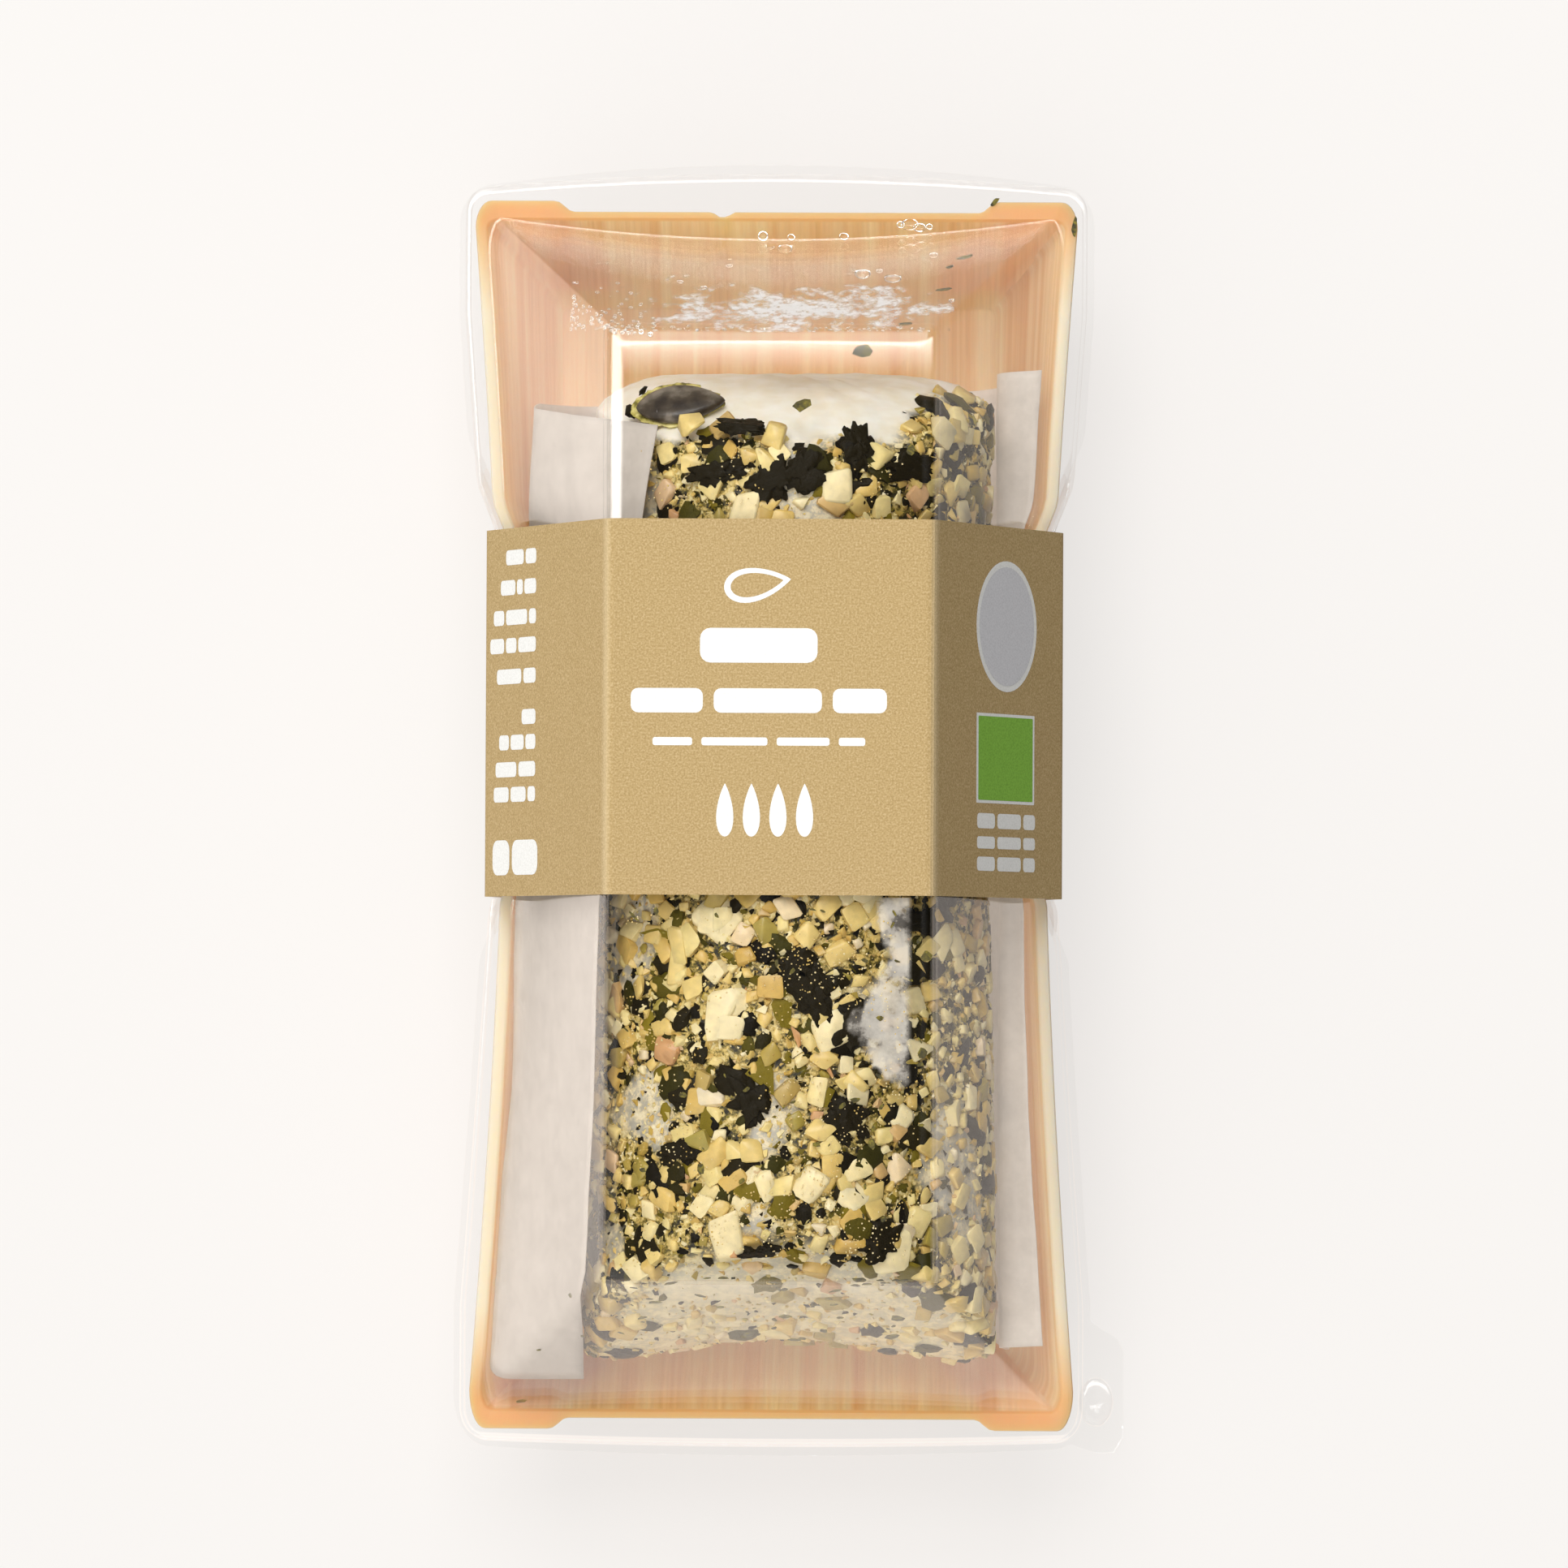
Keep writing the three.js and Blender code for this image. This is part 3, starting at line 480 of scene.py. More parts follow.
skin = add_node(
    tree, "BsdfPrincipled",
    {
        "Base Color": pulp, "Roughness": 0.55, "Normal": cockle, "Emission Color": pulp,
        "Emission Strength": painted_glow,
    },
)
add_node(tree, "OutputMaterial", {"Surface": skin})

liner = new_piece("paper_liner", points, faces, paper)
wall = liner.modifiers.new("thickness", "SOLIDIFY")
wall.thickness = PAPER * MM
wall.offset = 0
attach(liner, "root")
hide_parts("liner")

# Cheese
# A bar of fresh white sheep cheese, rolled by hand. The upper face is a bare slanted cut, and the lower one
# leans with the lid's end wall. Chopped seed and herbs cover the rest, and stain the cheese between them.
LOG_CENTRE_X = 1.8
LOG_HALF_WIDTH = 20.3
LOG_UNDERSIDE = 3.3
LOG_TOP = 43.2
LOG_SQUARENESS = 2.1
LOG_EDGE_RADIUS = 2
LOG_SQUEEZE = 0.7
LOG_MIDDLE = (LOG_UNDERSIDE + LOG_TOP) / 2
LOG_HALF_HEIGHT = (LOG_TOP - LOG_UNDERSIDE) / 2
LOW_FACE = {"end": -53.6, "foremost": 20, "sides": -3.3, "turn": 2, "above": 8.5, "lean": 1.15, "below": 4.2}
HIGH_FACE = {"end": 43.9, "foremost": 22, "sides": -1.9, "turn": 4, "above": -7, "lean": 1.6, "below": -3.3}
CRUST_EDGE = 36.2


def log_outline(angle, y, scale):
    """The log's section at a place along it, as x and z."""
    c = np.cos(angle)
    s = np.sin(angle)
    half_width = LOG_HALF_WIDTH - LOG_SQUEEZE * squeeze_at(y)
    x = np.sign(c) * np.abs(c) ** (2 / LOG_SQUARENESS) * half_width * scale
    z = np.sign(s) * np.abs(s) ** (2 / LOG_SQUARENESS) * LOG_HALF_HEIGHT * scale
    return LOG_CENTRE_X + x, LOG_MIDDLE + z


def face_at(face, x, z):
    """Where an end face lies along the pack, by the place in the section."""
    across = np.abs(x - LOG_CENTRE_X) / LOG_HALF_WIDTH
    up = np.maximum(0, z - face["foremost"]) / LOG_HALF_HEIGHT
    down = np.maximum(0, face["foremost"] - z) / LOG_HALF_HEIGHT
    return (
        face["end"] + face["sides"] * across ** face["turn"]
        + face["above"] * up ** face["lean"] + face["below"] * down**2
    )


around = -2 * np.pi * np.arange(150) / 150
log_rings = []


def cap_ring(scale, face, inwards):
    x, z = log_outline(around, face["end"], scale)
    return np.stack([x, face_at(face, x, z) + inwards * LOG_EDGE_RADIUS * scale**8, z], axis=1)


cap_scales = [0.08, 0.2, 0.32, 0.44, 0.56, 0.66, 0.75, 0.83, 0.9, 0.95, 0.985]
for scale in cap_scales:
    log_rings.append(cap_ring(scale, LOW_FACE, 1))
for t in np.linspace(0, 1, 110):
    x, z = log_outline(around, 0, 1)
    low = face_at(LOW_FACE, x, z) + LOG_EDGE_RADIUS
    high = face_at(HIGH_FACE, x, z) - LOG_EDGE_RADIUS
    y = mix(low, high, t)
    x, z = log_outline(around, y, 1)
    log_rings.append(np.stack([x, y, z], axis=1))
for scale in cap_scales[::-1]:
    log_rings.append(cap_ring(scale, HIGH_FACE, -1))
ends = []
for face in (LOW_FACE, HIGH_FACE):
    ends.append((LOG_CENTRE_X, float(face_at(face, LOG_CENTRE_X, LOG_MIDDLE)), LOG_MIDDLE))
points, faces = loft(log_rings, *ends)


def crumble(p):
    """How far the cheese stands in or out at a point, in millimetres."""
    at = Vector(p)
    return 0.28 * noise.noise(at * 0.22) + 0.22 * noise.noise(at * 0.6) + 0.12 * noise.noise(at * 1.5)


middle = np.array((LOG_CENTRE_X, 0, LOG_MIDDLE))
crumbled = []
for p in points:
    outward = Vector((np.array(p) - middle) * (1, 0.35, 1)).normalized()
    crumbled.append(np.array(p) + np.array(outward) * (crumble(p) - 0.3))
points = np.array(crumbled)

# Fresh cheese: a soft, moist, slightly see-through curd, cream white, stained olive under the crust
cheese, tree = new_material("fresh sheep cheese")
place = add_node(tree, "TexCoord").outputs["Object"]
curd = add_node(tree, "TexNoise", {"Vector": place, "Scale": 450.0, "Detail": 4.0})
stain = add_node(tree, "TexNoise", {"Vector": place, "Scale": 900.0, "Detail": 5.0, "Roughness": 0.7})
white = add_node(tree, "ValToRGB", {"Fac": curd}, stops=[(0.3, "#f3e9d2"), (0.7, "#fdf8ec")])
spot = add_node(tree, "SeparateXYZ", {0: place})
# The cheese turns yellower towards its lower end face
toward_low_face = add_node(
    tree, "MapRange",
    {"Value": spot.outputs["Y"], "From Min": -0.042, "From Max": -0.049, "To Min": 0.0, "To Max": 0.75},
)
creamed = add_node(tree, "Mix", {0: toward_low_face, 6: white, 7: linear("#f4e3b2")}, data_type="RGBA")
paste = add_node(
    tree, "ValToRGB", {"Fac": stain},
    stops=[(0.4, "#1f1b08"), (0.66, "#f0e0a6"), (0.47, "#6f6124"), (0.54, "#cfb364")],
)
share = add_node(tree, "Attribute", attribute_name="crust")
colour = add_node(tree, "Mix", {0: share.outputs["Fac"], 6: creamed.outputs[2], 7: paste}, data_type="RGBA")
grainy = add_node(tree, "Bump", {"Height": curd, "Strength": 0.4, "Distance": 0.15 * MM})
skin = add_node(
    tree, "BsdfPrincipled",
    {
        "Base Color": colour.outputs[2], "Roughness": 0.42, "Normal": grainy, "Subsurface Weight": 0.25,
        "Subsurface Radius": (1.0, 0.8, 0.5), "Subsurface Scale": 0.8 * MM,
    },
)
add_node(tree, "OutputMaterial", {"Surface": skin})

log = new_piece("cheese_log", points, faces, cheese)


def crust_share(p):
    """How much of the cheese is covered with seed at a point, from 0 to 1."""
    ragged = 0.9 * noise.noise(Vector(p) * 0.35)
    edge = CRUST_EDGE + ragged + 4.6 * smooth((p[0] - 11) / 5)
    below_cut = smooth((edge - p[1]) / 0.8)
    lower_face = float(face_at(LOW_FACE, p[0], p[2]))
    on_lower_face = 1 - smooth((p[1] - lower_face - 0.6) / 1.2)
    bare_spot = smooth((noise.noise(Vector((p[0] * 0.13 + 7, p[1] * 0.1, p[2] * 0.13))) - 0.25) / 0.15)
    return below_cut * (1 - 0.7 * on_lower_face) * (1 - 0.5 * bare_spot)


def set_attribute(mesh, name, values):
    mesh.attributes.new(name, "FLOAT", "POINT").data.foreach_set("value", np.asarray(values, float))


shares = [float(crust_share(p)) for p in points]
hidden = [float(smooth((p[2] - 6) / 6)) for p in points]
clusters = [float(smooth(noise.noise(Vector(p) * 0.28) * 2.2 + 0.5)) for p in points]
set_attribute(log.data, "crust", shares)
seeded = [s * mix(0.3, 1, h) for s, h in zip(shares, hidden)]
set_attribute(log.data, "kernel_cover", seeded)
set_attribute(log.data, "husk_cover", [s * s * mix(0.5, 1, c) for s, c in zip(seeded, clusters)])
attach(log, "root")
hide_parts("log")

# Crust
# Chopped pumpkin seed that the fresh cheese was rolled in: cream chips of kernel, black green scraps of
# husk and olive skin. They are pressed in flat by the rolling and by the lid.
SEED = 140
PRESSED_TOP = 43.7


def kernel_chip(draw):
    """A chopped chip of kernel: a box with shifted corners and softened edges."""
    chip = bmesh.new()
    for sx in (-1, 1):
        for sy in (-1, 1):
            for sz in (-1, 1):
                if draw.random() < 0.12:
                    continue
                shift = [draw.uniform(0.55, 1.05) for _ in range(3)]
                chip.verts.new((sx * shift[0], sy * shift[1] * 0.78, sz * shift[2] * 0.6))
    bmesh.ops.convex_hull(chip, input=chip.verts)
    bmesh.ops.dissolve_limit(chip, angle_limit=0.15, verts=chip.verts, edges=chip.edges)
    bmesh.ops.bevel(chip, geom=chip.edges, offset=0.12, segments=1, affect="EDGES")
    return chip


def husk_scrap(draw):
    """A crumpled scrap of husk: a flat lump with a wrinkled skin."""
    scrap = bmesh.new()
    bmesh.ops.create_icosphere(scrap, subdivisions=2, radius=1)
    offset = Vector([draw.uniform(0, 90) for _ in range(3)])
    for v in scrap.verts:
        grow = 1 + 0.5 * noise.noise(v.co * 1.6 + offset) + 0.3 * noise.noise(v.co * 3.5 + offset)
        v.co = Vector((v.co.x * grow, v.co.y * grow * 0.7, v.co.z * grow * 0.32))
    return scrap


def torn_husk(draw):
    """A larger torn piece of husk: a ragged outline and a skin with deep folds."""
    piece = bmesh.new()
    bmesh.ops.create_icosphere(piece, subdivisions=4, radius=1)
    offset = Vector([draw.uniform(0, 90) for _ in range(3)])
    for v in piece.verts:
        outline = noise.noise(Vector((v.co.x, v.co.y, 0)) * 2.2 + offset)
        folds = abs(noise.noise(v.co * 3.4 + offset))
        grain = noise.noise(v.co * 9 + offset)
        grow = 1.12 + 0.6 * outline - 0.55 * folds + 0.16 * grain
        v.co = Vector((v.co.x * grow, v.co.y * grow * 0.8, v.co.z * grow * 0.4))
    return piece


def crumb(draw):
    """A small crumb with a few flat faces."""
    bit = bmesh.new()
    for _ in range(8):
        direction = Vector([draw.gauss(0, 1) for _ in range(3)]).normalized()
        bit.verts.new(direction * draw.uniform(0.75, 1) * 1.0)
    bmesh.ops.convex_hull(bit, input=bit.verts)
    loose = [v for v in bit.verts if not v.link_faces]
    bmesh.ops.delete(bit, geom=loose, context="VERTS")
    for v in bit.verts:
        v.co.z *= 0.6
    return bit


def herb_flake(draw):
    """A dry scrap of leaf: a thin, slightly bent flake with an uneven outline."""
    flake = bmesh.new()
    corners = 7
    top, under = [], []
    for k in range(corners):
        turn = 2 * math.pi * (k + draw.uniform(-0.3, 0.3)) / corners
        reach = draw.uniform(0.6, 1)
        x, y = reach * math.cos(turn), reach * 0.6 * math.sin(turn)
        bend = 0.12 * x * x
        top.append(flake.verts.new((x, y, bend + 0.05)))
        under.append(flake.verts.new((x, y, bend - 0.05)))
    flake.faces.new(top)
    flake.faces.new(under[::-1])
    for k in range(corners):
        flake.faces.new((top[k], under[k], under[(k + 1) % corners], top[(k + 1) % corners]))
    return flake


def scatter_tree():
    """Geometry nodes that strew pieces of a collection over a surface, by a share kept on its points."""
    tree = bpy.data.node_groups.new("strewn pieces", "GeometryNodeTree")
    named = {}
    sockets = [
        ("Surface", "NodeSocketGeometry"), ("Pieces", "NodeSocketCollection"), ("Cover", "NodeSocketString"),
        ("Spacing", "NodeSocketFloat"), ("Smallest", "NodeSocketFloat"), ("Largest", "NodeSocketFloat"),
        ("Tilt", "NodeSocketFloat"), ("Seed", "NodeSocketInt"), ("Finish", "NodeSocketMaterial"),
    ]
    for name, kind in sockets:
        named[name] = tree.interface.new_socket(name=name, in_out="INPUT", socket_type=kind).identifier
    tree.interface.new_socket(name="Strewn", in_out="OUTPUT", socket_type="NodeSocketGeometry")
    given = add_node(tree, "NodeGroupInput").outputs
    cover = add_node(tree, "GeometryNodeInputNamedAttribute", {"Name": given["Cover"]}, data_type="FLOAT")
    squared = add_node(tree, "Math", {0: given["Spacing"], 1: given["Spacing"]}, operation="MULTIPLY")
    crowd = add_node(tree, "Math", {0: 1.6, 1: squared}, operation="DIVIDE")
    spread = add_node(
        tree, "GeometryNodeDistributePointsOnFaces",
        {
            "Mesh": given["Surface"], "Distance Min": given["Spacing"], "Density Max": crowd,
            "Density Factor": cover, "Seed": given["Seed"],
        }, distribute_method="POISSON",
    )
    least_tilt = add_node(tree, "Math", {0: given["Tilt"], 1: -1.0}, operation="MULTIPLY")
    least = add_node(tree, "CombineXYZ", {"X": least_tilt, "Y": least_tilt})
    most = add_node(tree, "CombineXYZ", {"X": given["Tilt"], "Y": given["Tilt"], "Z": 2 * math.pi})
    lean = add_node(
        tree, "FunctionNodeRandomValue", {0: least, 1: most, "Seed": 3}, data_type="FLOAT_VECTOR",
    )
    turn = add_node(tree, "FunctionNodeEulerToRotation", {0: lean})
    facing = add_node(
        tree, "FunctionNodeRotateRotation", {0: spread.outputs["Rotation"], 1: turn}, rotation_space="LOCAL",
    )
    chance = add_node(tree, "FunctionNodeRandomValue", {"Seed": 5}, data_type="FLOAT")
    skewed = add_node(tree, "Math", {0: chance.outputs[1], 1: 2.2}, operation="POWER")
    size = add_node(
        tree, "MapRange", {"Value": skewed, "To Min": given["Smallest"], "To Max": given["Largest"]},
    )
    stock = add_node(
        tree, "GeometryNodeCollectionInfo",
        {"Collection": given["Pieces"], "Separate Children": True, "Reset Children": True},
    )
    strewn = add_node(
        tree, "GeometryNodeInstanceOnPoints",
        {
            "Points": spread.outputs["Points"], "Instance": stock, "Pick Instance": True, "Rotation": facing,
            "Scale": size,
        },
    )
    tint = add_node(tree, "FunctionNodeRandomValue", {"Seed": 7}, data_type="FLOAT")
    tinted = add_node(
        tree, "GeometryNodeStoreNamedAttribute",
        {"Geometry": strewn, "Name": "tint", "Value": tint.outputs[1]}, data_type="FLOAT", domain="INSTANCE",
    )
    real = add_node(tree, "GeometryNodeRealizeInstances", {"Geometry": tinted})
    finished = add_node(tree, "GeometryNodeSetMaterial", {"Geometry": real, "Material": given["Finish"]})
    add_node(tree, "NodeGroupOutput", {0: finished})
    return tree, named


strewing, strewing_inputs = scatter_tree()


def strew(name, surface, shapes, cover, spacing, smallest, largest, tilt, seed, finish):
    """Strews pieces over a surface and returns them as one plain mesh object. Sizes are in millimetres."""
    stock = bpy.data.collections.new(name + " stock")
    for i, shape in enumerate(shapes):
        mesh = bpy.data.meshes.new(f"{name} {i}")
        shape.to_mesh(mesh)
        shape.free()
        stock.objects.link(bpy.data.objects.new(f"{name} {i:02d}", mesh))
    bed = bpy.data.objects.new(name + " bed", surface.data)
    bpy.context.scene.collection.objects.link(bed)
    modifier = bed.modifiers.new("strewing", "NODES")
    modifier.node_group = strewing
    values = {
        "Pieces": stock, "Cover": cover, "Spacing": spacing * MM, "Smallest": smallest / 2 * MM,
        "Largest": largest / 2 * MM, "Tilt": tilt, "Seed": seed, "Finish": finish,
    }
    for socket, value in values.items():
        modifier[strewing_inputs[socket]] = value
    bed.update_tag()
    bpy.context.view_layer.update()
    evaluated = bed.evaluated_get(bpy.context.evaluated_depsgraph_get())
    mesh = bpy.data.meshes.new_from_object(evaluated)
    mesh.name = name
    bpy.data.objects.remove(bed)
    for item in list(stock.objects):
        bpy.data.objects.remove(item)
    bpy.data.collections.remove(stock)
    made = bpy.data.objects.new(name, mesh)
    bpy.context.scene.collection.objects.link(made)
    return made


def press(mesh, height):
    """Pushes what stands too far out of the log back to an almost even skin."""
    co = np.zeros(len(mesh.vertices) * 3)
    mesh.vertices.foreach_get("co", co)
    x, y, z = (co.reshape(-1, 3) / MM).T
    half_width = LOG_HALF_WIDTH - LOG_SQUEEZE * squeeze_at(y)
    dx = (x - LOG_CENTRE_X) / half_width
    dz = (z - LOG_MIDDLE) / LOG_HALF_HEIGHT
    out = (np.abs(dx) ** LOG_SQUARENESS + np.abs(dz) ** LOG_SQUARENESS) ** (1 / LOG_SQUARENESS)
    limit = 1 + height / LOG_HALF_HEIGHT
    back = np.where(out > limit, (limit + (out - limit) * 0.3) / np.maximum(out, 0.01), 1)
    x = LOG_CENTRE_X + dx * back * half_width
    z = np.minimum(LOG_MIDDLE + dz * back * LOG_HALF_HEIGHT, PRESSED_TOP)
    y = np.clip(y, face_at(LOW_FACE, x, z) - height, face_at(HIGH_FACE, x, z) + 2 * height)
    mesh.vertices.foreach_set("co", (np.stack([x, y, z], axis=1) * MM).ravel())
    mesh.update()


# Pumpkin kernel: an oily, firm seed leaf, ivory to butter yellow where it was cut, greener near its skin
kernel, tree = new_material("chopped pumpkin kernel")
place = add_node(tree, "TexCoord").outputs["Object"]
tint = add_node(tree, "Attribute", attribute_name="tint")
flesh = add_node(
    tree, "ValToRGB", {"Fac": tint.outputs["Fac"]},
    stops=[
        (0.0, "#f6e5b6"), (1.0, "#d09a63"), (0.3, "#efd88f"), (0.55, "#e6c574"), (0.77, "#d3ad58"),
        (0.88, "#a99845"), (0.94, "#e4b97c"), (0.97, "#f5e7c2"),
    ],
)
mottle = add_node(tree, "TexNoise", {"Vector": place, "Scale": 1100.0, "Detail": 3.0})
mottle_tone = add_node(
    tree, "MapRange", {"Value": mottle, "From Min": 0.3, "From Max": 0.7, "To Min": 0.86, "To Max": 1.05},
)
toned = add_node(tree, "VectorMath", {0: flesh, "Scale": mottle_tone}, operation="SCALE")
cut = add_node(tree, "Bump", {"Height": mottle, "Strength": 0.3, "Distance": 0.08 * MM})
skin = add_node(
    tree, "BsdfPrincipled",
    {
        "Base Color": toned, "Roughness": 0.34, "Normal": cut, "Subsurface Weight": 0.2,
        "Subsurface Radius": (1.0, 0.8, 0.4), "Subsurface Scale": 0.6 * MM,
    },
)
add_node(tree, "OutputMaterial", {"Surface": skin})

# Pumpkin husk and seed skin: black green to olive, soaked with oil, so it shines where it is wrinkled
husk, tree = new_material("oily pumpkin husk")
place = add_node(tree, "TexCoord").outputs["Object"]
tint = add_node(tree, "Attribute", attribute_name="tint")
green = add_node(
    tree, "ValToRGB", {"Fac": tint.outputs["Fac"]},
    stops=[(0.0, "#140f05"), (1.0, "#86741f"), (0.5, "#241d08"), (0.72, "#3c380f"), (0.86, "#625718")],
)
wrinkles = add_node(tree, "TexNoise", {"Vector": place, "Scale": 2200.0, "Detail": 4.0, "Distortion": 0.6})
crease = add_node(tree, "Bump", {"Height": wrinkles, "Strength": 0.7, "Distance": 0.15 * MM})
skin = add_node(
    tree, "BsdfPrincipled",
    {"Base Color": green, "Roughness": 0.42, "Specular IOR Level": 0.09, "Normal": crease},
)
add_node(tree, "OutputMaterial", {"Surface": skin})

draw = random.Random(SEED)
# Shape, number of shapes, cover, spacing, smallest and largest size, tilt, finish and height above the log
STREWN = {
    "kernel_chips": (kernel_chip, 12, "kernel_cover", 1.55, 1.3, 3.7, 0.4, kernel, 0.34),
    "small_kernel_chips": (crumb, 12, "kernel_cover", 0.86, 0.75, 1.8, 0.6, kernel, 0.3),
    "husk_scraps": (husk_scrap, 12, "husk_cover", 1.52, 1.2, 4.2, 0.25, husk, 0.42),
    "small_husk_scraps": (crumb, 10, "husk_cover", 0.72, 0.6, 1.7, 0.5, husk, 0.46),
    "seed_crumbs": (crumb, 8, "kernel_cover", 0.72, 0.35, 1.0, 0.8, kernel, 0.5),
}
for i, (name, row) in enumerate(STREWN.items()):
    make, count, cover, spacing, smallest, largest, tilt, finish, height = row
    shapes = [make(draw) for _ in range(count)]
    piece = strew(name, log, shapes, cover, spacing, smallest, largest, tilt, SEED + i, finish)
    press(piece.data, height)
    piece.data.shade_smooth()
    piece.data.set_sharp_from_angle(angle=math.radians(45))
    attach(piece, "root")
    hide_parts("log")


def lay(stock, shape, x, y, size, turn, sink=0.0):
    """Adds a shape to a stock of laid pieces, on the log's upper side at a place seen from the front."""
    half_width = LOG_HALF_WIDTH - LOG_SQUEEZE * squeeze_at(y)
    out = (x - LOG_CENTRE_X) / half_width
    up = (1 - abs(out) ** LOG_SQUARENESS) ** (1 / LOG_SQUARENESS)
    normal = Vector((out * abs(out) / half_width, 0, up * up / LOG_HALF_HEIGHT)).normalized()
    z = LOG_MIDDLE + up * LOG_HALF_HEIGHT
    if y > CRUST_EDGE:
        normal = Vector((0, 0.75, 0.63)).normalized()
        z = LOG_MIDDLE + LOG_HALF_HEIGHT * min(up, ((HIGH_FACE["end"] - y) / 7) ** (1 / 1.6))
    level = normal.to_track_quat("Z", "Y").to_matrix().to_4x4()
    place = Matrix.Translation((Vector((x, y, z)) - normal * sink) * MM) @ level
    place = place @ Matrix.Rotation(turn, 4, "Z") @ Matrix.Diagonal((*[v / 2 * MM for v in size], 1))
    mesh = bpy.data.meshes.new("laid")
    shape.to_mesh(mesh)
    shape.free()
    mesh.transform(place)
    stock.append(mesh)


def joined(name, meshes, material, tint):
    """One object from laid meshes, with their tint."""
    whole = bmesh.new()
    for mesh in meshes:
        whole.from_mesh(mesh)
        bpy.data.meshes.remove(mesh)
    mesh = bpy.data.meshes.new(name)
    whole.to_mesh(mesh)
    whole.free()
    mesh.shade_smooth()
    mesh.set_sharp_from_angle(angle=math.radians(50))
    mesh.materials.append(material)
    set_attribute(mesh, "tint", [tint] * len(mesh.vertices))
    made = bpy.data.objects.new(name, mesh)
    bpy.context.scene.collection.objects.link(made)
    return made


# The larger pieces that show: place across and along, length, width, thickness, turn and how deep they sit
LARGE_PALE = [
    (-3.8, -21.1, 6.2, 6.4, 2.6, 0.1, 0.5), (-2.1, -38.1, 4.4, 4.8, 2.2, 0.5, 0.5),
    (4.2, -37.3, 3.6, 4.2, 2.0, 0.9, 0.4), (-5.0, -11.2, 4.4, 4.6, 1.8, 0.8, 0.5),
    (6.2, -22.3, 4.2, 4.2, 2.0, 0.3, 0.4), (-4.0, -42.3, 5.6, 3.6, 2.0, 0.2, 0.4),
    (6.3, 31.0, 3.6, 3.6, 2.6, 0.1, 0.3), (-2.6, 28.7, 4.4, 3.2, 2.4, -0.1, 0.2),
    (12.2, -43.9, 6.2, 4.6, 1.8, 0.1, 0.5),
]
LARGE_BUTTER = [
    (-8.0, 37.2, 2.8, 2.6, 2.0, 0.4, 0.0), (0.2, 36.0, 3.2, 2.4, 1.8, -0.3, 0.2),
    (-7.8, 33.5, 2.6, 3.4, 2.0, 0.1, 0.2), (-8.9, -14.0, 4.4, 2.0, 1.8, 0.15, 0.2),
    (-9.0, -16.0, 4.0, 2.0, 1.6, -0.1, 0.2), (3.6, -13.0, 2.6, 2.6, 1.6, 0.7, 0.2),
    (9.6, -10.2, 3.2, 3.4, 1.6, 0.5, 0.4), (4.6, -20.6, 2.8, 2.4, 1.8, 0.8, 0.1),
    (8.6, -27.6, 3.2, 2.2, 1.8, 0.8, 0.2),
]
LARGE_DARK = [
    (4.3, -18.6, 5.4, 3.6, 1.6, 0.4, 0.0), (2.6, -16.0, 3.2, 3.4, 1.4, 1.2, 0.0),
    (7.7, -21.8, 4.6, 5.0, 1.2, 0.5, 0.0), (3.1, 32.6, 3.4, 4.2, 1.4, 0.5, 0.0),
    (0.0, 31.6, 3.2, 3.8, 1.4, 1.0, 0.0), (-5.6, 32.4, 2.4, 4.6, 1.4, 0.1, 0.0),
    (-1.8, -29.0, 4.6, 3.4, 1.2, 0.4, 0.1), (8.4, 35.0, 3.8, 2.6, 1.2, 0.2, 0.0),
    (-3.0, 37.0, 4.4, 2.2, 1.2, 0.0, 0.0), (13.6, 33.0, 2.6, 5.4, 1.6, 0.1, 0.0),
    (7.4, -31.0, 3.8, 3.4, 1.2, 0.9, 0.1), (-8.6, -34.2, 2.2, 4.4, 1.2, 0.2, 0.1),
    (10.9, -42.8, 3.2, 4.0, 1.4, 0.3, 0.1), (-1.0, -44.6, 2.4, 3.0, 1.2, 0.4, 0.1),
    (13.0, -11.6, 1.8, 4.4, 1.4, 0.0, 0.1),
]
LARGE_OLIVE = [
    (-10.3, -12.9, 3.8, 6.8, 0.7, 0.1, 0.0), (5.6, 30.6, 3.6, 4.4, 0.7, 0.6, -0.1),
    (1.4, -20.6, 4.0, 3.2, 0.7, 0.5, 0.0), (-0.6, -26.8, 4.6, 3.4, 0.8, 0.3, 0.0),
    (-5.9, -30.8, 3.8, 4.6, 0.8, 0.7, 0.1), (5.4, -28.6, 3.6, 3.0, 0.8, 0.2, 0.0),
]
ORANGE_BITS = [
    (-3.3, -45.7, 5.6, 1.0, 0.7, 0.0, 0.0), (-9.35, -24.7, 2.8, 1.7, 1.4, -0.3, 0.1),
    (2.6, -22.9, 3.0, 1.2, 0.8, 0.4, 0.0), (5.6, -25.8, 3.2, 1.0, 0.8, 0.4, 0.0),
    (1.6, -16.0, 2.8, 1.4, 0.9, 0.6, 0.0), (9.9, -38.6, 1.6, 1.0, 0.8, 0.2, 0.0),
]
